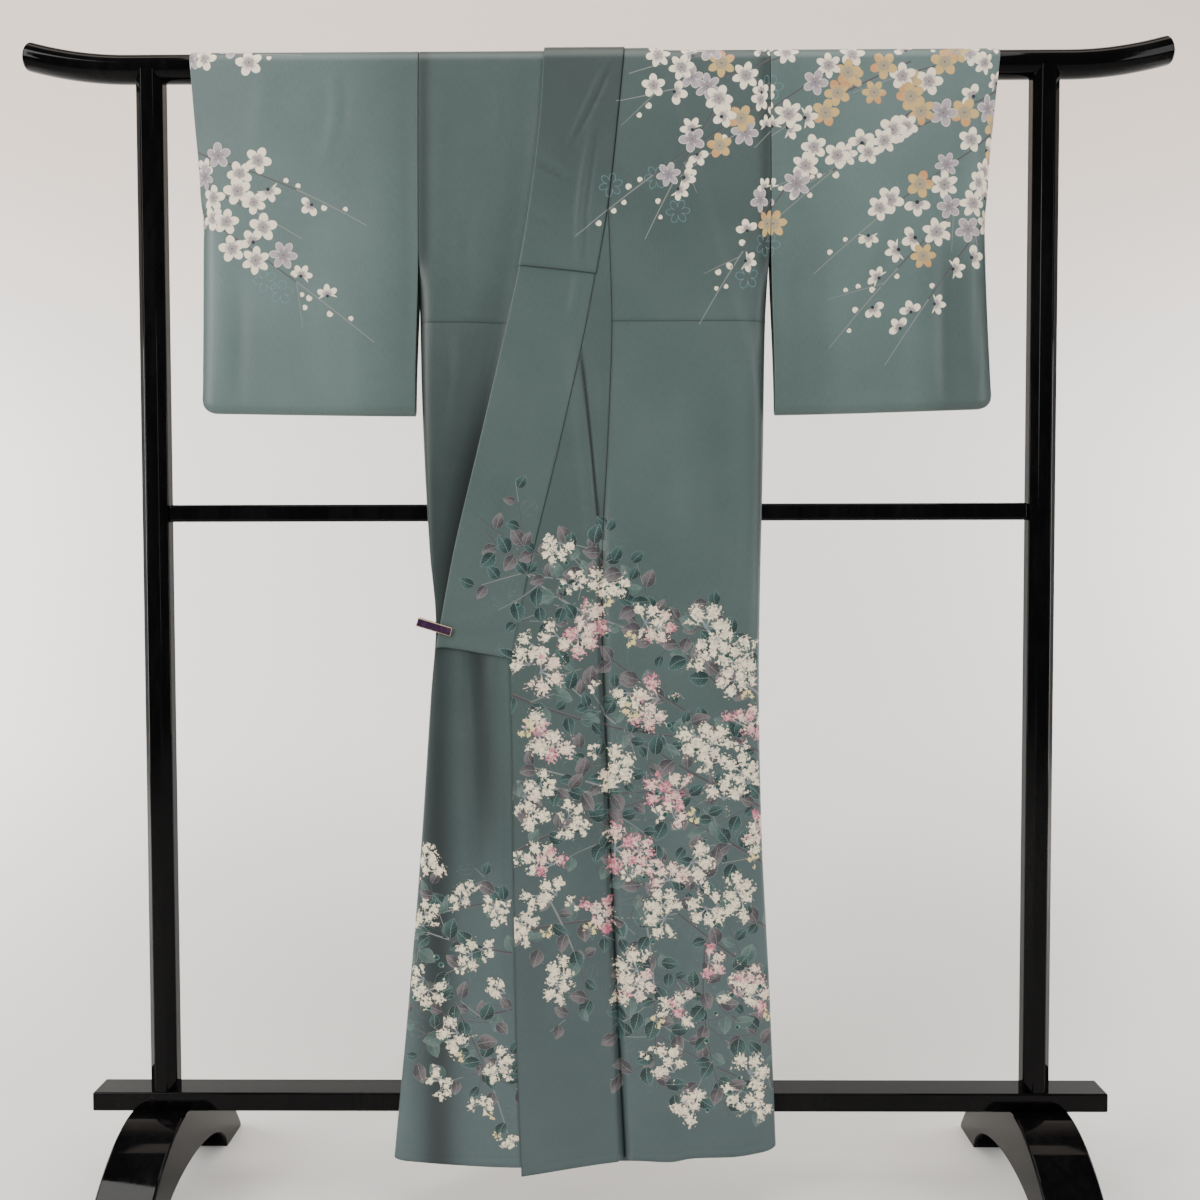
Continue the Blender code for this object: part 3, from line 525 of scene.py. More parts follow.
def sleeve_surface(cuff: Line, side: Side, creases: Sequence[Crease]) -> Surface:
    """A sleeve: one cloth folded over the rail, closed along its hem and below the wrist opening.

    Args:
        cuff: The outer edge.
        side: The wearer's side.
        creases: The creases of its front.

    Returns:
        The rule that gives its points.
    """

    def point(across: Array, s: Array) -> Array:
        """Gives the points of some places on the cloth.

        Args:
            across: Places along the cloth, as x would be if it lay flat.
            s: Along the cloth from the shoulder line, in metres.

        Returns:
            Points, with the coordinates on the last axis.
        """
        hem = SLEEVE_HEM.at(across)
        length = np.abs(s)
        angle = np.maximum(length - (hem - SLEEVE_HEM_TURN), 0.0) / SLEEVE_HEM_TURN
        down = np.where(angle > 0, hem - SLEEVE_HEM_TURN + SLEEVE_HEM_TURN * np.sin(angle), length)
        edge_x = cuff.at(down) - side.value * SLEEVE_CORNER.at(np.maximum(hem - down, 0.0))
        x, depth = turned(across, edge_x, side.value, ramp(down, *CUFF_CLOSES), CUFF_TURN)
        mirrored = np.where(side is Side.LEFT, x, -x)
        back = total_relief(SLEEVE_BACK_CREASES, mirrored, down)
        fold = np.where(s < 0, total_relief(creases, x, down), back) * free_share(down)
        return hang(x, np.copysign(down, s), UNDER, fold, depth * np.cos(angle))

    return point


# ---------------------------------------------------------------- walls of cloth
NORMAL_STEP = 0.00002
EDGE_ROUND, EDGE_LEFT = 0.0013, 0.45
EDGE_OFFSETS = (0.0, 0.00025, 0.0006, 0.0010, 0.0016)
# A row narrower than this many times the last offset gets its close columns closer still.
NARROW, LEAST_STEP = 5, 0.00001
TURN_SHARES = (0.13, 0.26, 0.39, 0.52, 0.64, 0.76, 0.86, 0.93, 0.958, 0.978, 0.991)
LAST_ANGLE = math.pi / 2 - SEAM_TURN
TURN_ANGLES = LAST_ANGLE * np.array((*TURN_SHARES, 1.0))
SHARP_ANGLE = math.radians(50)


def directions(surface: Surface, x: Array, s: Array) -> tuple[Array, Array]:
    """The outward direction of a cloth at some places, and the direction along it.

    Args:
        surface: The rule that gives the cloth's points.
        x: Across the garment, in metres.
        s: Along the cloth from the shoulder line, in metres.

    Returns:
        Both directions, of length 1.
    """
    along_x = surface(x + NORMAL_STEP, s) - surface(x - NORMAL_STEP, s)
    along_s = surface(x, s + NORMAL_STEP) - surface(x, s - NORMAL_STEP)
    out = np.cross(along_x, along_s)
    return tuple(found / np.linalg.norm(found, axis=-1, keepdims=True) for found in (out, along_s))


@dataclass(frozen=True)
class Grid:
    """Places on the cloth, in rows along it and columns across it.

    The margin is each place's distance from the nearest cut edge, in metres.
    """

    across: Array
    s: Array
    margin: Array

    @classmethod
    def within(cls, across: Array, s: Array, edges: Sequence[Array]) -> "Grid":
        """A grid whose margin is the least of its distances from some edges."""
        return cls(across, s, np.maximum(np.minimum.reduce(edges), 0.0))

    def wall(self, name: str, surface: Surface) -> Piece:
        """Makes a closed wall of cloth whose edges are rounded over.

        Args:
            name: The piece's name.
            surface: The rule that gives its points.

        Returns:
            The new object, with the place on the cloth kept at each point.
        """
        rows, columns = self.across.shape
        middle = surface(self.across, self.s)
        normal, _ = directions(surface, self.across, self.s)
        bend = 1 - np.sqrt(1 - (1 - np.minimum(self.margin / EDGE_ROUND, 1.0)) ** 2)
        raised = (1 - 2 * (1 - EDGE_LEFT) * bend)[..., None]
        outer, inner = middle + normal * raised * WALL / 2, middle - normal * WALL / 2
        index = np.arange(rows * columns).reshape(rows, columns)
        a, b, d, e = index[:-1, :-1], index[:-1, 1:], index[1:, :-1], index[1:, 1:]
        back = rows * columns
        rim = np.concatenate((index[0], index[1:, -1], index[-1, -2::-1], index[-2:0:-1, 0]))
        after = np.roll(rim, -1)
        faces = np.concatenate((
            np.stack((a, b, e, d), axis=-1).reshape(-1, 4),
            np.stack((a, d, e, b), axis=-1).reshape(-1, 4) + back,
            np.stack((after, rim, rim + back, after + back), axis=-1),
        ))
        mesh = bpy.data.meshes.new(name)
        points = np.concatenate((outer.reshape(-1, 3), inner.reshape(-1, 3)))
        mesh.from_pydata(points.tolist(), [], faces.tolist())
        mesh.shade_smooth()
        mesh.set_sharp_from_angle(angle=SHARP_ANGLE)
        place = np.stack((self.across, self.s, np.zeros(self.s.shape)), axis=-1).reshape(-1, 3)
        kept = mesh.attributes.new("place", "FLOAT_VECTOR", "POINT")
        kept.data.foreach_set("vector", np.tile(place, (2, 1)).ravel())
        return link(name, mesh)


def link(name: str, mesh: bpy.types.Mesh) -> Piece:
    """Puts a mesh into the scene as a named object.

    Args:
        name: The object's name.
        mesh: Its mesh.

    Returns:
        The new object.
    """
    placed = bpy.data.objects.new(name, mesh)
    bpy.context.scene.collection.objects.link(placed)
    return placed


def spaced(low: Array, high: Array, step: float, fine_low: bool, fine_high: bool) -> Array:
    """Columns from one edge to another, in even steps, with close ones beside a cut edge.

    Args:
        low: The lower edge's x in each row.
        high: The higher edge's x in each row.
        step: The widest step wanted.
        fine_low: Whether the lower edge is a cut edge.
        fine_high: Whether the higher edge is.

    Returns:
        An x for each row and column.
    """
    width = high - low
    near = np.array(EDGE_OFFSETS)[None, :] * np.minimum(1.0, width / (NARROW * EDGE_OFFSETS[-1]))[:, None]
    start = low + (near[:, -1] if fine_low else 0)
    stop = high - (near[:, -1] if fine_high else 0)
    count = max(int(math.ceil(np.max(stop - start) / step)), 2)
    shares = np.linspace(0.0, 1.0, count + 1)[None, :]
    parts = [start[:, None] * (1 - shares) + stop[:, None] * shares]
    if fine_low:
        parts.insert(0, low[:, None] + near[:, :-1])
    if fine_high:
        parts.append(high[:, None] - near[:, -2::-1])
    return np.concatenate(parts, axis=1)


def side_columns(inner: Array, side_x: Array, outward: int, radius: float, step: float) -> Array:
    """Columns from a cut inner edge to a side edge, and round its turn to half a gap short of the seam.

    Args:
        inner: The inner edge's x in each row.
        side_x: The side edge's x in each row.
        outward: The direction out, along X.
        radius: How far before the side edge its turn starts.
        step: The widest step wanted before the turn.

    Returns:
        An x for each row and column, from the lowest up.
    """
    start = side_x - outward * radius
    turn = start[:, None] + outward * radius * TURN_ANGLES[None, :]
    if outward > 0:
        return np.concatenate((spaced(inner, start, step, True, False), turn), axis=1)
    return np.concatenate((turn[:, ::-1], spaced(start, inner, step, False, True)), axis=1)


def levels(stops: Sequence[float], step: float, fine: Sequence[float]) -> Array:
    """Distances along the cloth for its rows.

    Args:
        stops: Distances that get a row, with even steps between them.
        step: The step wanted.
        fine: Distances that get close rows on both sides.

    Returns:
        The distances, in order.
    """
    found: list[float] = []
    for low, high in zip(stops, stops[1:]):
        count = max(round((high - low) / step), 1)
        found += [low + (high - low) * k / count for k in range(count)]
    found.append(stops[-1])
    for level in fine:
        found += [level + sign * offset for offset in EDGE_OFFSETS for sign in (-1, 1)]
    kept = sorted(f for f in found if stops[0] <= f <= stops[-1])
    return np.array([f for f, after in zip(kept, (*kept[1:], math.inf)) if after - f > LEAST_STEP])


ROW_STEP, FINE_ROW_STEP, WRAP_STEP = 0.0075, 0.0060, RAIL_RADIUS * math.radians(6)
HEM_BLEND = 0.12
# Rows behind the neck seam and before it, and the stretch that is kept clear for them: its middle and half.
NECK_ROWS, NECK_ROW_BEFORE, NECK_CLEAR = (0.0, 0.0004, 0.0009, 0.0016), 0.0001, (0.001, 0.0014)
COLLAR_CLEAR = 0.0005


def over_rail(stop: float = QUARTER_TURN) -> Array:
    """Rows over the rail, from the front of it to a stop behind."""
    return np.arange(-QUARTER_TURN + WRAP_STEP, stop - WRAP_STEP / 2, WRAP_STEP)


def to_hem(level: Array, lower: Array, nominal: float) -> Array:
    """Rows that run level high up and bend to follow the hem low down.

    Args:
        level: Each row's own distance down.
        lower: How much lower than nominal the hem is at each place.
        nominal: The last row's distance down.

    Returns:
        The distance down at each place.
    """
    return level + lower * ramp(level, nominal - HEM_BLEND, nominal)


@dataclass(frozen=True)
class BodyHalf:
    """Half of the body: one strip from the front hem, over the shoulder, to the back hem."""

    side: Side
    side_edge: Line
    collar_seam: Line
    okumi_seam: Line
    front_hem: Line
    column_step: float = 0.0037
    middle_x: float = 0.1

    def inner_edge(self, level: Array) -> Array:
        """The inner edge: the collar's or overlap's seam in front, and the middle behind.

        Args:
            level: Each row's place along the cloth.

        Returns:
            The edge's x in each row.
        """
        out, down = self.side.value, np.abs(level)
        seam = self.collar_seam.at(down), self.okumi_seam.at(down)
        inner = np.maximum(*seam) if self.side is Side.LEFT else np.minimum(*seam)
        inner = np.where(level > 0, self.collar_seam.at(0.0), inner)
        return np.where(level > NECK_S, CENTRE_BACK_X, inner) + out * GAP / 2

    def grid(self) -> Grid:
        """Lays out the strip's rows and columns.

        Returns:
            The grid.
        """
        out = self.side.value
        ends = [float(hem.at(self.middle_x * out)) for hem in (self.front_hem, BACK_HEM)]
        stops = (QUARTER_TURN, SLEEVE_SEAM_END, TUCK_DOWN)
        front, back = (levels((*stops, end), ROW_STEP, (TUCK_DOWN, end, end - HEM_ROLL_UP)) for end in ends)
        wrap, (clear, clear_half) = over_rail(), NECK_CLEAR
        wrap = wrap[np.abs(wrap - NECK_S - clear) > clear_half]
        neck = NECK_S + NECK_STEP + np.array(NECK_ROWS)
        wrap = np.sort(np.concatenate((wrap, [NECK_S - NECK_ROW_BEFORE], neck)))
        level = np.concatenate((-front[::-1], wrap, back))
        down = np.abs(level)
        inner, side_x = self.inner_edge(level), self.side_edge.at(down) - out * GAP / 2
        across = side_columns(inner, side_x, out, SIDE_TURN, self.column_step)
        rows, level = np.broadcast_to(down[:, None], across.shape), level[:, None]
        nominal = np.where(level < 0, *ends)
        hem = np.where(level < 0, self.front_hem.at(across), BACK_HEM.at(across))
        s = np.where(rows < QUARTER_TURN, level, np.copysign(to_hem(rows, hem - nominal, nominal), level))
        beside_neck = (s > NECK_S) & (across * out < self.collar_seam.at(0.0) * out)
        return Grid.within(across, s, (
            (across - inner[:, None]) * out,
            (side_x[:, None] - out * SIDE_TURN * (1 - LAST_ANGLE) - across) * out,
            hem - np.abs(s),
            np.where(beside_neck, s - NECK_S - NECK_STEP, 1.0),
        ))


@dataclass(frozen=True)
class Okumi:
    """An overlap panel, from its point beside the collar to the hem."""

    low: Line | OkumiEdge
    high: Line | OkumiEdge
    hem: Line
    column_step: float = 0.0023

    def grid(self) -> Grid:
        """Lays out the panel's rows and columns.

        Returns:
            The grid.
        """
        end = float(self.hem.at(0.0))
        fine = (OKUMI_TIP, end, end - HEM_ROLL_UP)
        level = levels((OKUMI_TIP, OKUMI_FREE_START, end), ROW_STEP, fine)[::-1]
        low, high = self.low.at(level) + GAP / 2, self.high.at(level) - GAP / 2
        across = spaced(low, high, self.column_step, True, True)
        hem = self.hem.at(across)
        s = -to_hem(np.broadcast_to(level[:, None], across.shape), hem - end, end)
        return Grid.within(across, s, (across - low[:, None], high[:, None] - across, hem + s))


@dataclass(frozen=True)
class Collar:
    """A collar band, from its lower end over the rail to the neck seam."""

    low: Line
    high: Line
    end: Line
    column_step: float = 0.0024

    def grid(self) -> Grid:
        """Lays out the band's rows and columns.

        Returns:
            The grid.
        """
        end = float(np.max([down for _, down in self.end.rows])) * MM
        middle = float(self.end.at((self.low.at(end) + self.high.at(end)) / 2))
        front = levels((QUARTER_TURN, middle), FINE_ROW_STEP, (middle,))
        wrap, stop = over_rail(NECK_S - GAP), NECK_S - GAP - np.array(EDGE_OFFSETS)[::-1]
        level = np.concatenate((-front[::-1], wrap[wrap < stop[0] - COLLAR_CLEAR], stop))
        down = np.abs(np.minimum(level, 0.0))
        low, high = self.low.at(down) + GAP / 2, self.high.at(down) - GAP / 2
        across = spaced(low, high, self.column_step, True, True)
        rows = np.broadcast_to(np.abs(level)[:, None], across.shape)
        ends = self.end.at(across)
        s = np.where(level[:, None] > -QUARTER_TURN, level[:, None], -to_hem(rows, ends - middle, middle))
        edges = (across - low[:, None], high[:, None] - across, ends + s, NECK_S - GAP - s)
        return Grid.within(across, s, edges)


@dataclass(frozen=True)
class Sleeve:
    """A sleeve, from its front hem over the rail to its back hem."""

    side: Side
    cuff: Line
    body_side: Line
    column_step: float = 0.0044
    middle_x: float = 0.5

    def grid(self) -> Grid:
        """Lays out the sleeve's rows and columns.

        Returns:
            The grid.
        """
        out = self.side.value
        hem_middle = float(SLEEVE_HEM.at(out * self.middle_x))
        last = hem_middle - SLEEVE_HEM_TURN
        down = levels((QUARTER_TURN, CUFF_CLOSES[0], SLEEVE_SEAM_END, last), FINE_ROW_STEP, ())
        half = np.concatenate((down, last + SLEEVE_HEM_TURN * TURN_ANGLES))
        level = np.concatenate((-half[::-1], over_rail(), half))
        angle = np.maximum(np.abs(level) - last, 0.0) / SLEEVE_HEM_TURN
        drop = np.where(angle > 0, last + SLEEVE_HEM_TURN * np.sin(angle), np.abs(level))
        lean = FURI_LEAN * ramp(drop, SLEEVE_SEAM_END, FURI_LEAN_FULL)
        inner = self.body_side.at(np.minimum(drop, FURI_START)) + out * (GAP / 2 + lean)
        side_x = self.cuff.at(drop) - out * SLEEVE_CORNER.at(np.maximum(hem_middle - drop, 0.0))
        across = side_columns(inner, side_x, out, CUFF_TURN, self.column_step)
        rows, hem = np.broadcast_to(np.abs(level)[:, None], across.shape), SLEEVE_HEM.at(across)
        bent = np.copysign(to_hem(rows, hem - hem_middle, last), level[:, None])
        s = np.where(rows < QUARTER_TURN, level[:, None], bent)
        return Grid.within(across, s, (
            (across - inner[:, None]) * out,
            (side_x[:, None] - out * CUFF_TURN * (1 - LAST_ANGLE) - across) * out,
            hem - SLEEVE_HEM_TURN * (1 - LAST_ANGLE) - np.abs(s),
        ))


# ---------------------------------------------------------------- the dyed pattern
class Layer(Enum):
    """A layer of the pattern: its name, how many motifs may overlap in it, and one's reach in u and v."""

    STEM = ("stem", 3, 1.05, 1.0)
    LEAF = ("leaf", 4, 1.0, 0.72)
    FRILL = ("frill", 4, 1.0, 1.0)
    BLOSSOM = ("blossom", 4, 1.0, 1.0)


Bloom = Enum("Bloom", "CREAM LILAC GOLD OUTLINE SIDE BUD GREEN_BUD", start=0)
Frill = Enum("Frill", "MILK PINK YELLOW", start=0)
Leaf = Enum("Leaf", "TEAL SAGE MAUVE BARE", start=0)
Stem = Enum("Stem", "BROWN PALE", start=0)
SEEDS = 64


@dataclass(frozen=True)
class Motif:
    """One motif, in millimetres on the cloth: its middle, the way it points and the size of its half axes.

    It is dyed on one of the two fronts. Behind the rail both pieces of the body take it.
    """

    layer: Layer
    x: float
    s: float
    turn: float
    along: float
    across: float
    kind: int
    seed: int
    front: Side


class Canvas:
    """The outer faces of every piece, to which motifs are given one by one, the topmost first."""

    empty = (9.0, 9.0, 0.0)
    half_face = 4.6

    def __init__(self, pieces: Sequence[tuple[Piece, Grid, Side]]) -> None:
        """Takes every piece's outer faces, and readies the empty layers.

        Args:
            pieces: Each piece, the grid that it was made from and the front that it belongs to.
        """
        self.pieces: list[tuple[Piece, int]] = []
        corners, on_left = [], []
        for piece, grid, front in pieces:
            place = np.stack((grid.across, grid.s), axis=-1) / MM
            faces = np.stack((place[:-1, :-1], place[:-1, 1:], place[1:, 1:], place[1:, :-1]), axis=2)
            corners.append(faces.reshape(-1, 4, 2))
            on_left.append(np.full(len(corners[-1]), front is Side.LEFT))
            self.pieces.append((piece, len(corners[-1])))
        self.corners, self.on_left = np.concatenate(corners), np.concatenate(on_left)
        self.middles = self.corners.mean(axis=1)
        self.order = np.argsort(self.middles[:, 1], kind="stable")
        self.sorted_s = self.middles[self.order, 1]
        count, nothing = len(self.corners), np.array(self.empty)
        self.used = {layer: np.zeros(count, int) for layer in Layer}
        self.values = {layer: np.tile(nothing, (layer.value[1], count, 4, 1)) for layer in Layer}

    def paint(self, motif: Motif) -> bool:
        """Gives a motif to the faces that it reaches.

        Args:
            motif: The motif.

        Returns:
            Whether there was room for it.
        """
        _, slots, reach_u, reach_v = motif.layer.value
        cos, sin = math.cos(motif.turn), math.sin(motif.turn)
        reach = math.hypot(motif.along, motif.across) + 2 * self.half_face
        low, high = np.searchsorted(self.sorted_s, (motif.s - reach, motif.s + reach))
        faces = self.order[low:high]
        dx, ds = (self.middles[faces] - (motif.x, motif.s)).T
        near = (self.on_left[faces] == (motif.front is Side.LEFT)) | (self.middles[faces, 1] > 0)
        near &= np.abs(dx * cos + ds * sin) < reach_u * motif.along + self.half_face
        near &= np.abs(ds * cos - dx * sin) < reach_v * motif.across + self.half_face
        faces = faces[near]
        used = self.used[motif.layer]
        if motif.layer is Layer.STEM:
            faces = faces[used[faces] < slots]
        if len(faces) == 0 or used[faces].max() >= slots:
            return False
        away = self.corners[faces] - (motif.x, motif.s)
        u = (away[..., 0] * cos + away[..., 1] * sin) / motif.along
        v = (away[..., 1] * cos - away[..., 0] * sin) / motif.across
        code = np.full(u.shape, motif.kind + (motif.seed + 0.5) / SEEDS)
        self.values[motif.layer][used[faces], faces] = np.stack((u, v, code), axis=-1)
        used[faces] += 1
        return True

    def write(self, silk_for: Callable[[tuple[int, ...]], Material]) -> None:
        """Keeps each layer on the pieces' face corners, and gives each face the silk with as many motifs.

        Args:
            silk_for: Makes or finds the silk that draws up to a number of motifs in each layer.
        """
        start = 0
        most = np.array([layer.value[1] for layer in Layer])
        for piece, count in self.pieces:
            own = slice(start, start + count)
            counts = np.stack([self.used[layer][own] for layer in Layer], axis=-1)
            counts = np.where(counts > 1, most, counts)
            counts[:, 0] = np.where(counts.sum(axis=1) > 0, most[0], 0)
            plain_first = np.concatenate((np.zeros((1, len(most)), int), counts))
            kinds, index = np.unique(plain_first, axis=0, return_inverse=True)
            for kind in kinds:
                piece.data.materials.append(silk_for(tuple(int(k) for k in kind)))
            slots = np.zeros(len(piece.data.polygons), np.int32)
            slots[:count] = index.ravel()[1:]
            piece.data.polygons.foreach_set("material_index", slots)
            for layer, used in zip(Layer, counts.T):
                name, room, *_ = layer.value
                for slot in range(room if used.any() else 0):
                    kept = piece.data.attributes.new(f"{name}_{slot}", "FLOAT_VECTOR", "CORNER")
                    every = np.tile(np.array(self.empty), (len(piece.data.loops), 1))
                    every[:count * 4] = self.values[layer][slot, own].reshape(-1, 3)
                    kept.data.foreach_set("vector", every.ravel())
            start += count


@dataclass(frozen=True)
class Branch:
    """A branch from where it enters, in millimetres: x, down, then its heading in degrees.

    Heading 0 points to +X and 90 straight down, and the bend is in degrees for each 100 mm. A branch that is
    behind lies behind the rail.
    """

    x: float
    down: float
    heading: float
    length: float
    bend: float = 0.0
    front: Side = Side.LEFT
    behind: bool = False

    def walk(self, step: float) -> list[Triple]:
        """Follows the branch.

        Args:
            step: The distance from one point to the next.

        Returns:
            The points along it, each with the heading there, in radians.
        """
        x, down, heading = self.x, self.down, math.radians(self.heading)
        found = [(x, down, heading)]
        for _ in range(int(self.length / step)):
            heading += math.radians(self.bend) * step / 100
            x += step * math.cos(heading)
            down += step * math.sin(heading)
            found.append((x, down, heading))
        return found

    def side_branch(
        self, x: float, down: float, heading: float, length: float, bend: float = 0.0,
    ) -> "Branch":
        """A branch that leaves this one at a point, its heading in radians."""
        return Branch(x, down, math.degrees(heading), length, bend, self.front, self.behind)


def beside(x: float, down: float, heading: float, away: float) -> Pair:
    """The place a distance away in a direction."""
    return x + away * math.cos(heading), down + away * math.sin(heading)


class Dyer:
    """Lays out the pattern. Its draws are seeded, and it keeps the motifs, the topmost last."""

    stem_step, stem_overlap, stem_thins = 9.0, 1.03, 0.6
    bare_tip = 34.0
    woody_share = 0.55
    spray_width, twig_width, leaf_twig_width = 3.0, 1.4, 1.05
    open_size, side_size, outline_size = (16.8, 20.4), 15.8, 17.0
    lilac_share, side_share = 0.20, 0.15
    bud_size, twig_bud_size, green_bud_size = (5.0, 7.0), (3.8, 5.4), (3.6, 4.8)
    leaf_size, leaf_breadth = (9.0, 15.0), (1.0, 1.25)
    side_chance, outline_chance, turn_over_chance = 0.30, 0.14, 0.75
    twig_chance, leaf_twig_chance, green_bud_chance = 0.18, 0.42, 0.045
    small_frill_chance, yellow_chance = 0.6, 0.35
    pair_size = 26
    stem_kinds = (Stem.BROWN, Stem.BROWN, Stem.PALE)
    leaf_kinds = (Leaf.TEAL, Leaf.TEAL, Leaf.TEAL, Leaf.SAGE, Leaf.MAUVE, Leaf.MAUVE, Leaf.BARE)

    def __init__(self, seed: int) -> None:
        """Starts with an empty layout."""
        self.chance = random.Random(seed)
        self.motifs: list[Motif] = []

    def any_way(self) -> float:
        """A direction drawn from the whole circle."""
        return self.chance.uniform(0, math.tau)

    def happens(self, chance: float) -> bool:
        """Whether something with a chance happens this time."""
        return self.chance.random() < chance

    def degrees(self, least: float, most: float) -> float:
        """An angle in radians, drawn between two in degrees."""
        return math.radians(self.chance.uniform(least, most))

    def put(
        self, layer: Layer, at: Pair, turn: float, size: Pair, kind: Enum, on: Branch,
    ) -> None:
        """Adds one motif.

        Args:
            layer: Its layer.
            at: Its middle: x and down.
            turn: The way it points, in radians, as a heading.
            size: Its half length and half width.
            kind: Its kind.
            on: The branch that it grows on, for its side of the garment.
        """
        way = 1 if on.behind else -1
        seed = self.chance.randrange(SEEDS)
        self.motifs.append(Motif(layer, at[0], at[1] * way, turn * way, *size, kind.value, seed, on.front))

    def stem(self, branch: Branch, width: float, kind: Stem, young: Stem) -> list[Triple]:
        """Draws a branch as short straight strokes that thin towards its tip.

        Args:
            branch: The branch.
            width: Its width where it starts, in millimetres.
            kind: Its kind where it starts.
            young: Its kind further on.

        Returns:
            The points along it.
        """
        points = branch.walk(self.stem_step)
        for k, ((x0, d0, _), (x1, d1, _)) in enumerate(zip(points, points[1:])):
            thin = 1 - self.stem_thins * k / len(points)
            size = (math.dist((x0, d0), (x1, d1)) / 2 * self.stem_overlap, width / 2 * thin)
            grown = kind if k < self.woody_share * len(points) else young
            middle, turn = ((x0 + x1) / 2, (d0 + d1) / 2), math.atan2(d1 - d0, x1 - x0)
            self.put(Layer.STEM, middle, turn, size, grown, branch)
        return points

    def blossom(self, x: float, down: float, heading: float, gold: float, branch: Branch) -> None:
        """Adds one open blossom, or one seen from the side.

        Args:
            x: Its place across.
            down: Its place down.
            heading: The way out from the branch, in radians.
            gold: The share of such blossoms that are gold.
            branch: The branch that it grows on.
        """
        draw = self.chance.random()
        size = self.chance.uniform(*self.open_size)
        turn = self.any_way()
        kind = Bloom.CREAM
        shares = ((gold, Bloom.GOLD), (self.lilac_share, Bloom.LILAC), (self.side_share, Bloom.SIDE))
        for share, other in shares:
            if draw < share:
                kind = other
                break
            draw -= share
        if kind is Bloom.SIDE:
            size, turn = size * 0.95, heading + self.chance.uniform(-1.3, 1.3)
        self.put(Layer.BLOSSOM, (x, down), turn, (size, size), kind, branch)

    def bud(
        self, x: float, down: float, heading: float, size: float, branch: Branch, kind: Bloom = Bloom.BUD,
    ) -> None:
        """Adds a round bud that sits on a stem.

        Args:
            x: The stem's place across.
            down: Its place down.
            heading: The way out from the stem, in radians.
            size: The bud's half length.
            branch: The branch that it grows on.
            kind: Its kind.
        """
        at = beside(x, down, heading, size + self.chance.uniform(0.0, 2.0))
        self.put(Layer.BLOSSOM, at, heading, (size, size * 0.9), kind, branch)

    def spray(self, branch: Branch, open_share: float, gold: float = 0.12, gap: float = 28.0) -> None:
        """A flowering branch: open blossoms where it starts, buds further on, and a bare tip.

        Args:
            branch: The branch.
            open_share: The share of its length that carries open blossoms.
            gold: The share of the blossoms that are gold.
            gap: The distance from one to the next, in millimetres.
        """
        points = self.stem(branch, self.spray_width, Stem.BROWN, Stem.PALE)
        side, travelled = 1, 0.0
        while travelled < branch.length - self.bare_tip:
            x, down, heading = points[min(int(travelled / self.stem_step), len(points) - 1)]
            share = travelled / branch.length
            normal = heading + side * math.pi / 2
            if share < open_share:
                at = beside(x, down, normal, self.chance.uniform(2.0, 19.0))
                self.blossom(*at, normal, gold, branch)
                travelled += gap * self.chance.uniform(0.6, 1.2)
            else:
                if self.happens(self.side_chance) and share < 0.85:
                    at = beside(x, down, normal, 11.0)
                    turn = normal + self.chance.uniform(-0.8, 0.8)
                    self.put(Layer.BLOSSOM, at, turn, (self.side_size,) * 2, Bloom.SIDE, branch)
                else:
                    size = self.chance.uniform(*self.bud_size) * (1.15 - 0.5 * share)
                    self.bud(x, down, normal, size, branch)
                travelled += gap * self.chance.uniform(0.5, 0.95)
            if 0.4 < share < 0.8 and self.happens(self.outline_chance):
                at = beside(x, down, normal + math.pi, 24.0)
                self.put(Layer.BLOSSOM, at, self.any_way(), (self.outline_size,) * 2, Bloom.OUTLINE, branch)
            side = -side if self.happens(self.turn_over_chance) else side
            if self.happens(self.twig_chance) and 0.15 < share < 0.8:
                turn = heading + side * self.degrees(28, 55)
                self.twig(branch.side_branch(x, down, turn, self.chance.uniform(45, 85)))

    def twig(self, branch: Branch) -> None:
        """Adds a thin side twig with a few buds.

        Args:
            branch: The twig's own branch.
        """
        points = self.stem(branch, self.twig_width, Stem.PALE, Stem.PALE)
        for x, down, heading in points[2:-2:2]:
            side = self.chance.choice((-1, 1)) * math.pi / 2
            self.bud(x, down, heading + side, self.chance.uniform(*self.twig_bud_size), branch)

    def leaves(self, branch: Branch, width: float = 2.6, gap: float = 21.5) -> None:
        """A leafy branch: leaves in turn on either side, side twigs, and round buds.

        Args:
            branch: The branch.
            width: Its width where it starts, in millimetres.
            gap: The distance from one leaf to the next.
        """
        kinds = [self.chance.choice(self.stem_kinds) for _ in range(2)]
        points = self.stem(branch, width * 1.5, *kinds)
        side, travelled = 1, gap * 0.4
        while travelled < branch.length:
            x, down, heading = points[min(int(travelled / self.stem_step), len(points) - 1)]
            turn = heading + side * self.degrees(25, 75)
            half = self.chance.uniform(*self.leaf_size)
            reach = half + self.chance.uniform(1.0, 4.0)
            size = (half, half * self.chance.uniform(*self.leaf_breadth))
            kind = self.chance.choice(self.leaf_kinds)
            self.put(Layer.LEAF, beside(x, down, turn, reach), turn, size, kind, branch)
            if self.happens(self.green_bud_chance):
                away = turn + self.degrees(-25, 25)
                tip = beside(x, down, away, reach + half + 3)
                self.bud(*tip, away, self.chance.uniform(*self.green_bud_size), branch, Bloom.GREEN_BUD)
            if width > 2 and self.happens(self.leaf_twig_chance):
                away = heading + side * self.degrees(30, 62)
                length, bend = self.chance.uniform(42, 95), self.chance.uniform(-42, 42)
                twig = branch.side_branch(x, down, away, length, bend)
                self.leaves(twig, self.leaf_twig_width, gap * 0.85)
            side = -side
            travelled += gap * self.chance.uniform(0.7, 1.3)

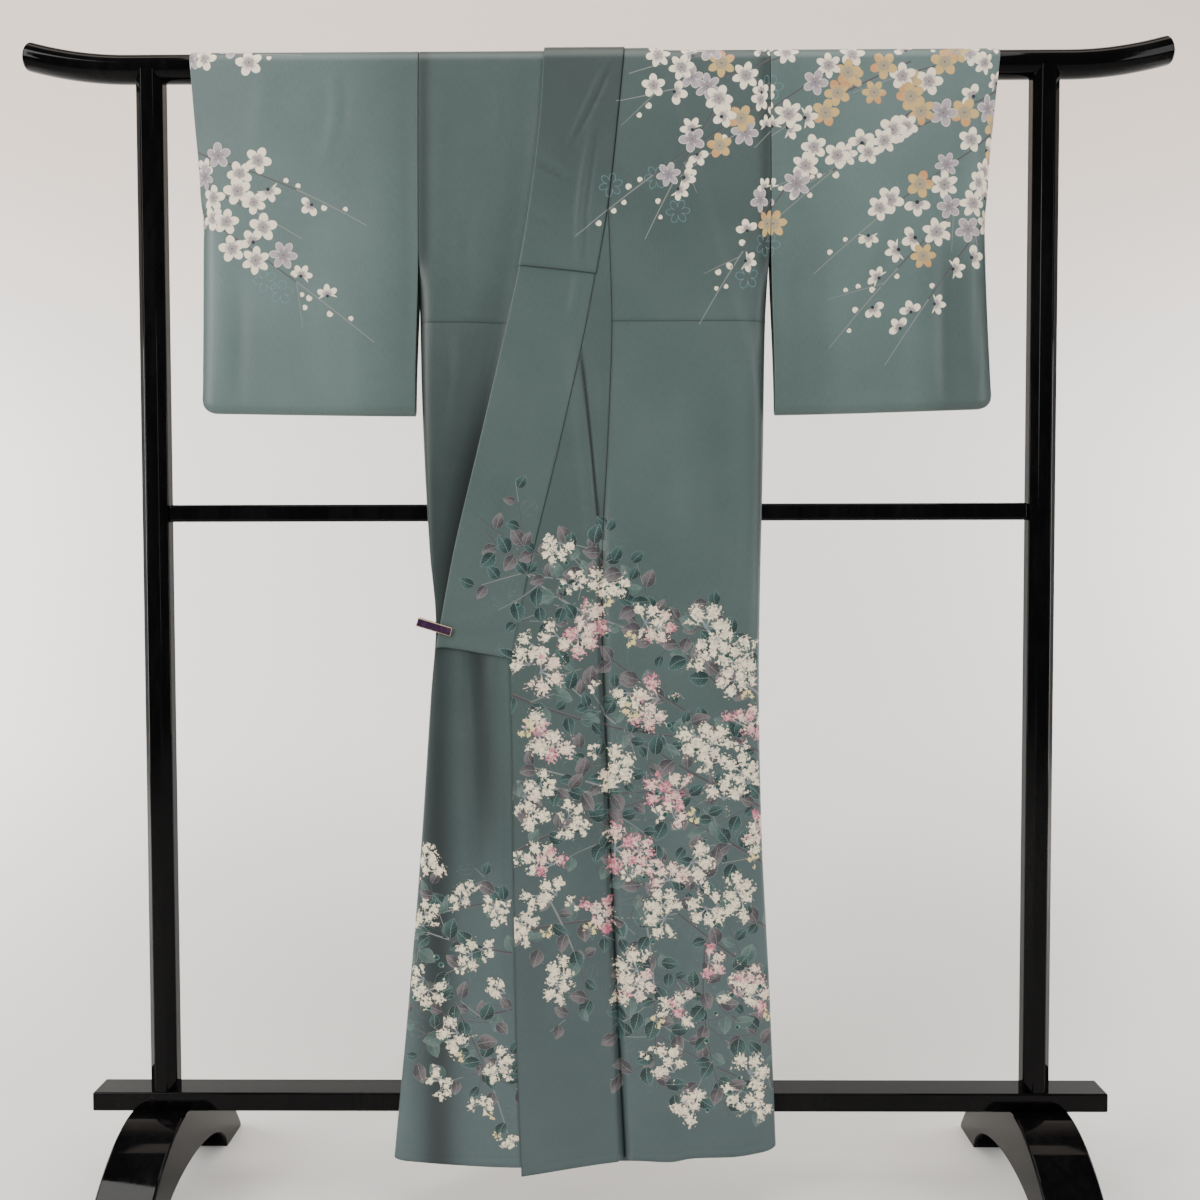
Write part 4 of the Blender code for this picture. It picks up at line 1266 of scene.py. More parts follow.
    def head(self, size: float, pink: float, branch: Branch) -> None:
        """A head of frilled flowers: a chain of two or three that overlap, and a small one beside them.

        Args:
            size: The radius of the largest.
            pink: The share of pink ones.
            branch: The place that it grows from.
        """
        x, down, turn = branch.x, branch.down, self.any_way()
        for k in range(2 + (size > self.pair_size)):
            kind = Frill.PINK if self.happens(pink) else Frill.MILK
            at = beside(x, down, turn, size * 0.70 * k)
            own = size * (1.07 - 0.12 * k) * self.chance.uniform(0.92, 1.1)
            self.put(Layer.FRILL, at, self.any_way(), (own, own), kind, branch)
            turn += self.chance.uniform(0.5, 1.3)
        if self.happens(self.small_frill_chance):
            at = beside(x, down, self.any_way(), size * 1.3)
            kind = Frill.YELLOW if self.happens(self.yellow_chance) else Frill.MILK
            self.put(Layer.FRILL, at, turn, (size * 0.45, size * 0.45), kind, branch)

    def dye(self, canvas: Canvas) -> int:
        """Gives every motif to the cloth, the last one laid out on top, and counts those that fit."""
        return sum(canvas.paint(motif) for motif in reversed(self.motifs))


# In each group of these tables: the front, whether it lies behind the rail, and its rows.
# Flowering branches: x, down, heading, length, bend, the share with open blossoms and the share of gold.
SPRAYS = (
    (Side.LEFT, False, (
        (556, 22, 172, 250, -6, 1.0, 0.16), (560, 74, 160, 330, -3, 0.82, 0.24),
        (558, 128, 150, 330, -4, 0.66, 0.12), (556, 176, 139, 350, -3, 0.58, 0.08),
        (552, 226, 128, 270, -2, 0.45, 0.0), (430, 34, 158, 250, -5, 0.80, 0.34),
        (440, 96, 146, 250, -3, 0.58, 0.18), (352, 26, 150, 290, -3, 0.72, 0.20),
        (300, 150, 128, 290, -3, 0.45, 0.06), (262, 24, 160, 250, 4, 0.85, 0.10),
        (236, 84, 150, 330, -3, 0.62, 0.30), (170, 84, 122, 220, -3, 0.35, 0.0),
        (158, 20, 168, 120, -4, 0.75, 0.0),
    )),
    (Side.RIGHT, False, (
        (-566, 150, 14, 270, 6, 0.50, 0.0), (-566, 186, 24, 180, 4, 0.75, 0.0),
        (-562, 226, 33, 320, 2, 0.48, 0.0), (-566, 14, 2, 170, 0, 0.70, 0.0),
    )),
    (Side.RIGHT, True, (
        (-566, 60, 4, 280, 3, 0.90, 0.14), (-560, 120, 18, 350, 5, 0.62, 0.16),
        (-556, 200, 36, 340, 3, 0.55, 0.10), (-300, 60, 8, 320, 6, 0.80, 0.14),
        (-250, 150, 40, 280, 8, 0.45, 0.10),
    )),
    (Side.LEFT, True, (
        (560, 70, 172, 270, 4, 0.75, 0.10), (556, 190, 146, 320, -4, 0.52, 0.08),
        (240, 60, 168, 200, 6, 0.55, 0.08),
    )),
)
# Leafy branches: x, down, heading, length, bend, and the width where one starts.
LEAFY = (
    (Side.LEFT, False, (
        (236, 905, 212, 330, -5, 3.0), (236, 985, 205, 350, 5, 3.2), (236, 1060, 202, 360, 6, 3.2),
        (238, 1140, 214, 370, -6, 3.4), (240, 1225, 205, 350, 5, 3.2), (240, 1300, 214, 320, 3, 2.8),
        (240, 1390, 220, 240, -4, 2.6), (244, 1452, 200, 190, 6, 2.4), (-118, 1120, 330, 240, 8, 3.0),
        (-118, 900, 24, 310, -8, 3.2), (-112, 1020, 14, 240, -10, 2.8), (-110, 1230, 346, 220, 8, 2.8),
        (170, 890, 222, 270, 4, 2.8), (236, 830, 190, 270, 6, 2.6), (60, 1180, 78, 260, 6, 2.4),
        (150, 1240, 98, 260, -12, 2.4), (-70, 1180, 60, 170, 10, 2.2), (-10, 790, 205, 190, 14, 2.6),
        (46, 742, 176, 150, 10, 2.2), (-60, 712, 196, 120, 20, 2.4), (-40, 860, 188, 150, -10, 2.4),
    )),
    (Side.RIGHT, False, (
        (-130, 1190, 178, 120, -14, 2.4), (-120, 1260, 186, 150, 12, 2.6), (-120, 1340, 170, 150, -8, 2.6),
        (-120, 1430, 204, 140, 10, 2.4), (-200, 1330, 62, 200, 6, 2.2),
    )),
    (Side.LEFT, True, (
        (240, 930, 160, 330, 8, 3.0), (240, 1080, 172, 420, 6, 3.0), (246, 1240, 186, 420, 4, 3.0),
    )),
    (Side.RIGHT, True, (
        (-262, 1120, 14, 300, 8, 2.8), (-268, 1260, 352, 330, 6, 2.8),
    )),
    (Side.LEFT, True, (
        (-40, 1180, 70, 250, 4, 2.4), (140, 1240, 96, 220, 6, 2.4), (150, 900, 236, 230, 4, 2.4),
    )),
)
# Heads of frilled flowers: x, down, size and the share of pink.
HEADS = (
    (Side.LEFT, False, (
        (-52, 690, 20, 0.1), (10, 742, 22, 0.1), (-18, 800, 30, 0.8), (66, 800, 25, 0.6),
        (-78, 868, 28, 0.1), (28, 892, 24, 0.3), (150, 806, 30, 0.0), (208, 846, 26, 0.0),
        (84, 906, 30, 0.9), (140, 958, 30, 0.0), (212, 942, 24, 0.8), (-62, 962, 32, 0.9),
        (22, 1000, 26, 0.4), (92, 1032, 27, 0.9), (-96, 1058, 27, 0.0), (168, 1062, 26, 0.1),
        (16, 1092, 34, 0.9), (226, 1100, 25, 0.9), (66, 1130, 24, 0.8), (130, 1132, 29, 0.1),
        (-52, 1160, 27, 0.8), (-100, 1226, 22, 0.1), (200, 1186, 24, 0.0), (12, 1206, 24, 0.1),
        (92, 1212, 26, 0.1), (170, 1272, 24, 0.2), (54, 1282, 28, 0.4), (-48, 1288, 26, 0.1),
        (108, 1342, 24, 0.1), (214, 1318, 28, 0.9), (196, 1412, 28, 0.1), (94, 1412, 24, 0.1),
        (134, 1476, 24, 0.2), (224, 1470, 20, 0.0), (-40, 1068, 22, 0.2), (200, 1008, 24, 0.0),
        (-30, 742, 16, 0.0), (190, 880, 22, 0.0), (-80, 1130, 24, 0.1), (150, 1196, 22, 0.2),
    )),
    (Side.RIGHT, False, (
        (-238, 1146, 23, 0.4), (-190, 1186, 18, 0.1), (-244, 1222, 22, 0.3), (-142, 1206, 17, 0.0),
        (-176, 1262, 20, 0.0), (-236, 1312, 25, 0.0), (-130, 1316, 18, 0.0), (-196, 1372, 25, 0.0),
        (-142, 1412, 20, 0.0), (-222, 1440, 17, 0.0), (-160, 1474, 14, 0.0), (-126, 1520, 13, 0.0),
    )),
    (Side.LEFT, True, (
        (200, 930, 28, 0.3), (120, 960, 26, 0.8), (40, 1010, 24, 0.2), (190, 1040, 30, 0.8),
        (100, 1076, 30, 0.1), (-10, 1110, 28, 0.7), (210, 1150, 26, 0.1), (130, 1176, 28, 0.7),
        (40, 1196, 26, 0.1), (-70, 1180, 26, 0.2), (-220, 1130, 26, 0.5), (-150, 1180, 28, 0.1),
        (-240, 1240, 24, 0.8), (-120, 1270, 26, 0.1), (-30, 1290, 26, 0.6), (70, 1300, 28, 0.1),
        (180, 1290, 26, 0.3), (-190, 1320, 28, 0.1), (10, 1380, 24, 0.1), (120, 1400, 24, 0.2),
        (-90, 1380, 22, 0.1), (210, 1400, 22, 0.7), (-236, 1410, 22, 0.1),
    )),
)
PATTERN_SEED = 20


@dataclass(frozen=True)
class Fade:
    """A part of the ground's tone that comes in between two places, in metres."""

    share: float
    start: float
    full: float

    def at(self, where: Array) -> Array:
        """Its share at some places."""
        return self.share * ramp(where, self.start, self.full)


# The ground's tone on each piece, with painted light and shade in it. Painted shade falls in the under
# front's valleys, along the pleat, the tuck, the cut edges and the sides, over the rail, and high up on the
# collar and left body. A painted highlight runs along the collar's fold. The sleeves are painted paler for
# the satin light on them, with painted shade at their edges.
UNDER_TONE = Line((
    (0, 530), (300, 530), (420, 440), (540, 380), (640, 390), (760, 480), (860, 590), (1000, 585),
    (1150, 590), (1380, 670),
))
BACK_TONE, TOP_TONE, TOP_PALER, TOP_HEM_SHADE = 0.62, 0.54, Fade(0.10, 0.20, 0.50), Fade(0.04, 1.30, 1.52)
COLLAR_TONE, COLLAR_PALER = 0.36, Fade(0.25, 0.03, 0.38)
COLLAR_FOLD_HALF, COLLAR_FOLD_LIGHT = 0.004, 0.25
EDGE_TONE, EDGE_TONE_WIDTH, TUCK_TONE, TUCK_TONE_WIDTH = 0.54, 0.0013, 0.50, 0.0011
CROWN_TONE, CROWN_TONE_WIDTH = 0.58, 0.012
VALLEY_TONE, VALLEY_TONE_WIDTH = Fade(0.66, 0.38, 0.60), 0.027
LOWER_VALLEY, LOWER_VALLEY_WIDTH = Line(((835, -166), (940, -160), (1160, -154))), 0.021
LOWER_VALLEY_TONE, LOWER_VALLEY_ENDS = Fade(0.62, 0.80, 0.86), (0.98, 1.20)
PLEAT_BEGINS = Line(((405, -25), (470, -17), (545, -9), (610, -3), (672, 2), (770, 6)))
PLEAT_TONE_WIDTH, PLEAT_TONES_MEET = 0.0026, 0.74
PLEAT_FOLD_TONE, PLEAT_BEGIN_TONE = Fade(0.78, 0.60, 0.76), Fade(0.78, 0.40, 0.46)
SIDE_TONE, SIDE_TONE_WIDTH, SIDE_TONE_ENDS = 0.42, 0.014, (0.58, 0.80)
SLEEVE_TONE, SLEEVE_LOWER_SHADE, SLEEVE_INNER_SHADE = 1.04, Fade(0.14, 0.16, 0.46), Fade(0.10, 0.36, 0.24)
LEFT_SLEEVE_TONE, LEFT_INNER_SHADE = 0.91, Fade(0.10, 0.36, 0.26)
LEFT_CUFF_SHADE, LEFT_CUFF_SHADE_DOWN = Fade(0.34, 0.42, 0.50), (0.22, 0.34)
RIGHT_SLEEVE_TONE, RIGHT_PALER, RIGHT_INNER_SHADE = 0.76, Fade(0.24, 0.05, 0.36), Fade(0.18, 0.40, 0.26)
# Painted light and shade on the creases: how much paler a ridge is painted, or darker a trough, for each
# metre of height, and the most height that counts.
RELIEF_TONE, RELIEF_MOST = 75.0, 0.0015


def relief_tone(relief: Array, s: Array) -> Array:
    """Painted light and shade from a crease's own slopes in front: the share of the colour at a place."""
    return np.where(s < 0, 1 + RELIEF_TONE * np.clip(relief, -RELIEF_MOST, RELIEF_MOST), 1.0)


def shadowed(away: Array, width: float, depth: Array | float) -> Array:
    """A soft painted dark line, or a painted light line where the depth is below 0: the share of the colour
    it leaves, by the distance from its middle.
    """
    return 1 - depth * np.exp(-((away / width) ** 2))


def sleeve_painted_light(side: Side, x: Array, down: Array) -> Array:
    """A sleeve's ground tone, painted paler than the body for the satin light on it, with painted shade low
    down and beside the body.

    Args:
        side: The wearer's side.
        x: Across the garment, in metres.
        down: Down from the shoulder line, in metres.

    Returns:
        The share of the ground's full colour at each place.
    """
    shade = SLEEVE_TONE - SLEEVE_LOWER_SHADE.at(down) - SLEEVE_INNER_SHADE.at(np.abs(x))
    if side is Side.LEFT:
        # Painted shade over the lower outer part of the left sleeve, by its cuff.
        outer = LEFT_CUFF_SHADE.at(x) * ramp(down, *LEFT_CUFF_SHADE_DOWN)
        return LEFT_SLEEVE_TONE * shade * (1 - LEFT_INNER_SHADE.at(x)) * (1 - outer)
    return shade * (RIGHT_SLEEVE_TONE + RIGHT_PALER.at(down)) * (1 - RIGHT_INNER_SHADE.at(-x))


def pleat_painted_shadow(x: Array, s: Array) -> Array:
    """The painted shadow along the pleat beside the left overlap's seam, which lies in front only.

    Args:
        x: Across the garment, in metres.
        s: Along the cloth from the shoulder line, in metres.

    Returns:
        The share of the colour that the painted shadow leaves at each place.
    """
    down, on_front = np.abs(s), (s < 0) * 1.0
    folded, begun = (
        shadowed(x - line.at(down), PLEAT_TONE_WIDTH, tone.at(down) * on_front)
        for line, tone in ((LEFT_OKUMI_SEAM, PLEAT_FOLD_TONE), (PLEAT_BEGINS, PLEAT_BEGIN_TONE))
    )
    return np.where(down > PLEAT_TONES_MEET, folded, np.minimum(folded, begun))


def tone_and_painted_light(node: str, grid: Grid) -> Array:
    """The ground's tone with painted light and shade: painted palest on the sleeves, painted darkest in the
    valley beside the collar.

    Args:
        node: The piece's node.
        grid: Its places on the cloth.

    Returns:
        The share of the ground's full colour at each place.
    """
    x, down, side = grid.across, np.abs(grid.s), side_of(node)
    # Painted shade over the top of the rail, where the light from above falls on the cloth.
    crown = shadowed(down, CROWN_TONE_WIDTH, CROWN_TONE)
    if node.startswith("sleeve"):
        creases = LEFT_SLEEVE_CREASES if side is Side.LEFT else RIGHT_SLEEVE_CREASES
        # Painted light and shade on the sleeve's creases.
        crown = crown * relief_tone(total_relief(creases, x, down), grid.s)
        return sleeve_painted_light(side, x, down) * crown
    # Painted shade along every cut edge and seam.
    seam = crown * shadowed(grid.margin, EDGE_TONE_WIDTH, EDGE_TONE)
    # Painted light and shade on the creases in front.
    if node != "body_right":
        seam = seam * relief_tone(top_relief(x, down), grid.s)
    if node.startswith("body"):
        # Painted shadow along the tuck, and painted shade along the sides that fades out low down.
        sewn = np.abs(x - np.where(x > 0, LEFT_SIDE.at(down), RIGHT_SIDE.at(down)))
        seam = seam * shadowed(down - TUCK_DOWN, TUCK_TONE_WIDTH, TUCK_TONE)
        seam = seam * shadowed(sewn, SIDE_TONE_WIDTH, SIDE_TONE * (1 - ramp(down, *SIDE_TONE_ENDS)))
    if "collar" in node:
        # A painted highlight along the collar's fold, and painted shade at its top.
        fold = x - (LEFT_COLLAR_FREE if side is Side.LEFT else RIGHT_COLLAR_FREE).at(down)
        lit = shadowed(fold, EDGE_TONE_WIDTH, -COLLAR_FOLD_LIGHT) * crown
        return (COLLAR_TONE + COLLAR_PALER.at(down)) * np.where(np.abs(fold) < COLLAR_FOLD_HALF, lit, seam)
    if node in ("body_left", "okumi_left"):
        # Painted shadow along the pleat.
        seam = seam * pleat_painted_shadow(x, grid.s)
    if node == "body_left":
        # Painted shade: darker high up and near the hem.
        return (TOP_TONE + TOP_PALER.at(down) - TOP_HEM_SHADE.at(down)) * seam
    if node == "body_right":
        # Painted shade in the valley beside the collar and in the valley below it; the under front's tone
        # carries painted shade too.
        valley = shadowed(x - LEFT_COLLAR_FREE.at(down), VALLEY_TONE_WIDTH, VALLEY_TONE.at(down))
        lower = LOWER_VALLEY_TONE.at(down) * (1 - ramp(down, *LOWER_VALLEY_ENDS))
        valley = valley * shadowed(x - LOWER_VALLEY.at(down), LOWER_VALLEY_WIDTH, lower)
        return np.where(grid.s < 0, UNDER_TONE.at(down) * valley * seam, BACK_TONE * seam)
    return TOP_TONE * seam


def lay_out() -> Dyer:
    """Lays out the whole pattern, on both fronts and behind.

    Returns:
        The layout.
    """
    dyer = Dyer(PATTERN_SEED)
    for front, behind, rows in LEAFY:
        for *path, width in rows:
            dyer.leaves(Branch(*path, front, behind), width)
    for front, behind, rows in HEADS:
        for x, down, size, pink in rows:
            dyer.head(size, pink, Branch(x, down, 0, 0, 0, front, behind))
    for front, behind, rows in SPRAYS:
        for *path, open_share, gold in rows:
            dyer.spray(Branch(*path, front, behind), open_share, gold)
    return dyer


# ---------------------------------------------------------------- shader graphs
Value = Union["Wire", Socket, float, tuple]
Inputs = dict[Union[str, int], Value]


def sign(operation: str, swapped: bool = False) -> Callable[..., "Wire"]:
    """The method of a wire that adds one step of arithmetic.

    Args:
        operation: The step.
        swapped: Whether the wire comes second in it.

    Returns:
        The method.
    """

    def method(wire: "Wire", other: Value = 0.0) -> "Wire":
        """Adds the step, with another value where it needs one."""
        return wire.graph.math(operation, *((other, wire) if swapped else (wire, other)))

    return method


class Wire:
    """A value in a shader graph. The plain signs of arithmetic on it add nodes to the graph."""

    def __init__(self, graph: "Graph", socket: Socket) -> None:
        """Takes an output socket."""
        self.graph, self.socket = graph, socket

    __add__ = __radd__ = sign("ADD")
    __sub__, __rsub__ = sign("SUBTRACT"), sign("SUBTRACT", swapped=True)
    __mul__ = __rmul__ = sign("MULTIPLY")
    __truediv__, __pow__, __abs__ = sign("DIVIDE"), sign("POWER"), sign("ABSOLUTE")
    sine, cosine, floor, fraction = sign("SINE"), sign("COSINE"), sign("FLOOR"), sign("FRACT")
    or_more, above, turn_of = sign("MAXIMUM"), sign("GREATER_THAN"), sign("ARCTAN2", swapped=True)

    def ramp(self, low: Value, high: Value, out_low: Value = 0.0, out_high: Value = 1.0) -> "Wire":
        """Maps the value smoothly from one range to another, held at both ends.

        Args:
            low: Where the range starts.
            high: Where it ends.
            out_low: The result at its start.
            out_high: The result at its end.

        Returns:
            The result.
        """
        values = dict(enumerate((self, low, high, out_low, out_high)))
        made = self.graph.node("MapRange", values, interpolation_type="SMOOTHSTEP")
        return Wire(self.graph, made.outputs[0])


class Graph:
    """Adds nodes to one tree and joins them."""

    def __init__(self, tree: NodeTree) -> None:
        """Starts on a tree."""
        self.tree = tree

    def put(self, socket: Socket, value: Value) -> None:
        """Links a socket to a value in the graph, or gives it a plain one.

        Args:
            socket: The input socket.
            value: What it gets.
        """
        value = value.socket if isinstance(value, Wire) else value
        if isinstance(value, Socket):
            self.tree.links.new(value, socket)
        elif isinstance(value, tuple) and socket.type == "RGBA":
            socket.default_value = (*value, 1.0)
        else:
            socket.default_value = value

    def node(self, kind: str, inputs: Inputs | None = None, **settings: object) -> Node:
        """Adds a node.

        Args:
            kind: The node's type, without the ShaderNode at its start.
            inputs: What each named or numbered input gets.
            settings: The node's own properties.

        Returns:
            The new node.
        """
        made = self.tree.nodes.new("ShaderNode" + kind)
        for name, value in settings.items():
            setattr(made, name, value)
        for name, value in (inputs or {}).items():
            self.put(made.inputs[name], value)
        return made

    def math(self, operation: str, a: Value, b: Value = 0.0) -> Wire:
        """One step of arithmetic."""
        return Wire(self, self.node("Math", {0: a, 1: b}, operation=operation).outputs[0])

    def length(self, u: Value, v: Value) -> Wire:
        """The length of a flat vector."""
        flat = self.node("CombineXYZ", {0: u, 1: v}).outputs[0]
        return Wire(self, self.node("VectorMath", {0: flat}, operation="LENGTH").outputs["Value"])

    def parts(self, vector: Value) -> list[Wire]:
        """The three parts of a vector."""
        return [Wire(self, part) for part in self.node("SeparateXYZ", {0: vector}).outputs]

    def attribute(self, name: str, output: str = "Vector") -> Wire:
        """A value kept on the mesh."""
        return Wire(self, self.node("Attribute", attribute_name=name).outputs[output])

    def mix(self, factor: Value, a: Value, b: Value, blend: str = "MIX") -> Wire:
        """Mixes two colours.

        Args:
            factor: The share of the second.
            a: The first colour.
            b: The second colour.
            blend: The way of mixing.

        Returns:
            The mixed colour.
        """
        made = self.node("Mix", data_type="RGBA", blend_type=blend, clamp_factor=True)
        for index, value in ((0, factor), (6, a), (7, b)):
            self.put(made.inputs[index], value)
        return Wire(self, made.outputs[2])

    def noise(
        self, where: Value, scale: float, detail: float = 2.0, rough: float = 0.5, output: str = "Fac",
    ) -> Wire:
        """Smooth noise, around one half."""
        inputs = {"Vector": where, "Scale": scale, "Detail": detail, "Roughness": rough}
        return Wire(self, self.node("TexNoise", inputs).outputs[output])


Group = tuple[Graph, dict[str, Socket], Node]


def group_tree(name: str, inputs: dict[str, str], outputs: dict[str, str]) -> Group:
    """Makes a shader group with its sockets.

    Args:
        name: The group's name.
        inputs: Each input's name and its kind, such as Float.
        outputs: The same for the outputs.

    Returns:
        The group's graph, its given values and its output node.
    """
    tree = bpy.data.node_groups.new(name, "ShaderNodeTree")
    for names, way in ((inputs, "INPUT"), (outputs, "OUTPUT")):
        for socket, kind in names.items():
            tree.interface.new_socket(name=socket, in_out=way, socket_type="NodeSocket" + kind)
    given = tree.nodes.new("NodeGroupInput").outputs
    return Graph(tree), {name: given[name] for name in inputs}, tree.nodes.new("NodeGroupOutput")


def unevenness_group() -> NodeTree:
    """Makes the slight unevenness of a hard surface: a Value from 0 to 1, and a Height.

    Returns:
        The group.
    """
    graph, given, out = group_tree(
        "soft unevenness", {"Size": "Float", "Stretch": "Float"}, {"Value": "Float", "Height": "Float"},
    )
    scale = graph.math("DIVIDE", 1.0, given["Size"])
    lengths = graph.node("CombineXYZ", {0: scale, 1: scale, 2: scale / given["Stretch"]}).outputs[0]
    place = graph.node("TexCoord").outputs["Object"]
    where = graph.node("VectorMath", {0: place, 1: lengths}, operation="MULTIPLY").outputs[0]
    broad, fine = graph.noise(where, 1.0), graph.noise(where, 9.0, 3.0)
    graph.put(out.inputs["Value"], broad * 0.6 + fine * 0.4)
    graph.put(out.inputs["Height"], broad + fine * 0.12)
    return graph.tree


class MotifGroup:
    """A shader group that draws one layer's motifs in their own coordinates.

    Its Place holds u, v and the code of the kind and the seed, and its Rough three parts of noise around
    one half.
    """

    def __init__(self, layer: Layer) -> None:
        """Starts the group and reads a motif's own coordinates.

        Args:
            layer: The layer.
        """
        sockets = {"Place": "Vector", "Rough": "Vector"}, {"Colour": "Color", "Mask": "Float"}
        self.graph, given, self.out = group_tree(f"dyed {layer.value[0]}", *sockets)
        self.u, self.v, code = self.graph.parts(given["Place"])
        self.rough = [part - 0.5 for part in self.graph.parts(given["Rough"])]
        self.kind = code.floor()
        self.seed = (code.fraction() * SEEDS).floor() / SEEDS
        self.r = self.graph.length(self.u, self.v)
        self.turn = self.u.turn_of(self.v) / math.tau

    def is_a(self, *wanted: Enum) -> Wire:
        """1 where the motif is of one of some kinds, which are neighbours in their list."""
        low, high = wanted[0].value - 0.5, wanted[-1].value + 0.5
        return self.kind.above(low) - self.kind.above(high)

    def finish(self, colour: Value, mask: Value) -> NodeTree:
        """Hands out the colour and the mask.

        Args:
            colour: The colour.
            mask: The mask.

        Returns:
            The group.
        """
        self.graph.put(self.out.inputs["Colour"], colour)
        self.graph.put(self.out.inputs["Mask"], mask)
        return self.graph.tree


def blossom_group() -> NodeTree:
    """Draws an open blossom of five or six petals, one seen from the side, or a bud.

    Returns:
        The group.
    """
    own = MotifGroup(Layer.BLOSSOM)
    mix = own.graph.mix
    side, gold, bud = own.is_a(Bloom.SIDE), own.is_a(Bloom.GOLD), own.is_a(Bloom.BUD, Bloom.GREEN_BUD)
    petals = own.seed.above(0.62) + 5.0
    away = ((own.turn * petals + petals + side * 0.5).fraction() - 0.5) * math.tau / petals
    along = (own.r * away.cosine() - 0.58) / 0.42
    across = own.r * away.sine() * petals / 1.68
    petal = 1.0 - own.graph.length(along, across)
    open_edge = petal.or_more((0.40 - own.r) * 2.5) + own.rough[0] * 0.16
    inside = open_edge + bud * (0.96 - own.r - open_edge)
    ahead = abs(own.turn).ramp(0.30, 0.29).or_more(1.0 - side)
    outline = own.is_a(Bloom.OUTLINE)
    line = inside.ramp(0.24, 0.12) * (0.75 + own.rough[2])
    mask = inside.ramp(0.0, 0.07) * ahead * line.or_more(1.0 - outline)
    base = mix(own.is_a(Bloom.LILAC), (0.97, 0.85, 0.63), (0.42, 0.36, 0.375))
    gilt = mix((own.v + own.rough[1]).ramp(0.1, 0.75), (0.62, 0.42, 0.16), (0.60, 0.30, 0.12))
    base = mix(gold, base, gilt)
    base = mix(outline, base, (0.13, 0.25, 0.27))
    wash = (own.r + own.rough[1] * 0.5).ramp(0.60, 0.26) * (1.0 - bud) * 0.85
    base = mix(wash, base, mix(gold, (0.27, 0.235, 0.26), (0.38, 0.33, 0.22)))
    ray = abs((own.turn * 15.0).fraction() - 0.5).ramp(0.16, 0.06)
    ray = ray * own.r.ramp(0.07, 0.12) * own.r.ramp(0.46, 0.36)
    heart = (ray * 0.75).or_more(own.r.ramp(0.10, 0.05)) * (1.0 - bud)
    base = mix(heart, base, (0.14, 0.12, 0.14))
    base = mix(inside.ramp(0.26, 0.12) * (1.0 - gold - outline - bud) * 0.6, base, (0.96, 0.90, 0.80))
    base = mix(inside.ramp(0.13, 0.05) * (1.0 - outline) * 0.6, base, (0.24, 0.22, 0.215))
    calyx = own.graph.length(own.u + 0.07, own.v).ramp(0.17, 0.13) * side
    base = mix(calyx, base, (0.02, 0.03, 0.035))
    base = mix(own.u.ramp(-0.25, -0.75) * own.is_a(Bloom.BUD), base, (0.10, 0.13, 0.13))
    green = mix(own.r.ramp(0.35, 0.95), (0.012, 0.050, 0.046), (0.10, 0.20, 0.18))
    green = mix((own.u - own.r * 0.55 + own.rough[1]).ramp(0.18, 0.34), green, (0.66, 0.58, 0.34))
    base = mix(own.is_a(Bloom.GREEN_BUD), base, green)
    return own.finish(base, mask.or_more(calyx))


def frill_group() -> NodeTree:
    """Draws a frilled flower: crinkled petals on thin claws round an open middle, some of them missing.

    Returns:
        The group.
    """
    own = MotifGroup(Layer.FRILL)
    mix = own.graph.mix
    sixth = own.turn * 6.0 + 6.0
    which = own.graph.node("CombineXYZ", {0: sixth.floor(), 1: own.seed * 91.0}).outputs[0]
    white = own.graph.node("TexWhiteNoise", {"Vector": which}, noise_dimensions="3D")
    draw = own.graph.parts(white.outputs["Color"])
    away = (sixth.fraction() - 0.5) * (math.tau / 6)
    along = own.r * away.cosine() - draw[1] * 0.12 - 0.62
    across = own.r * away.sine()
    lump = own.graph.length(along * 0.80, across * 0.92) + own.rough[0] * 1.05
    petal = lump.ramp(0.262, 0.238)
    claw = abs(across).ramp(0.045, 0.020) * own.r.ramp(0.02, 0.06) * own.r.ramp(0.62, 0.5)
    opened = ((own.turn - own.seed) * math.tau).cosine() + own.rough[1] * 0.8
    shown = draw[0].ramp(0.10, 0.11) * opened.ramp(-0.62, -0.52)
    mask = (petal.or_more(claw * 0.9) * shown).or_more(own.r.ramp(0.09, 0.05) * 0.7)
    fleck = (own.rough[1] + lump * 0.45).ramp(-0.05, 0.16)
    pink = own.is_a(Frill.PINK)
    milk = mix(fleck * 0.65, (0.96, 0.84, 0.62), (0.58, 0.51, 0.40))
    milk = mix(pink * 0.4, milk, (0.86, 0.58, 0.52))
    rosy = mix(fleck, (0.76, 0.41, 0.41), (0.52, 0.12, 0.20))
    blush = (draw[2] * 0.6 + own.r * 0.5 + own.rough[2] * 1.4).ramp(0.42, 0.92) * pink
    milk = mix(blush, milk, rosy)
    milk = mix(own.is_a(Frill.YELLOW), milk, (0.74, 0.62, 0.30))
    return own.finish(mix(own.r.ramp(0.34, 0.12), milk, (0.24, 0.26, 0.28)), mask)


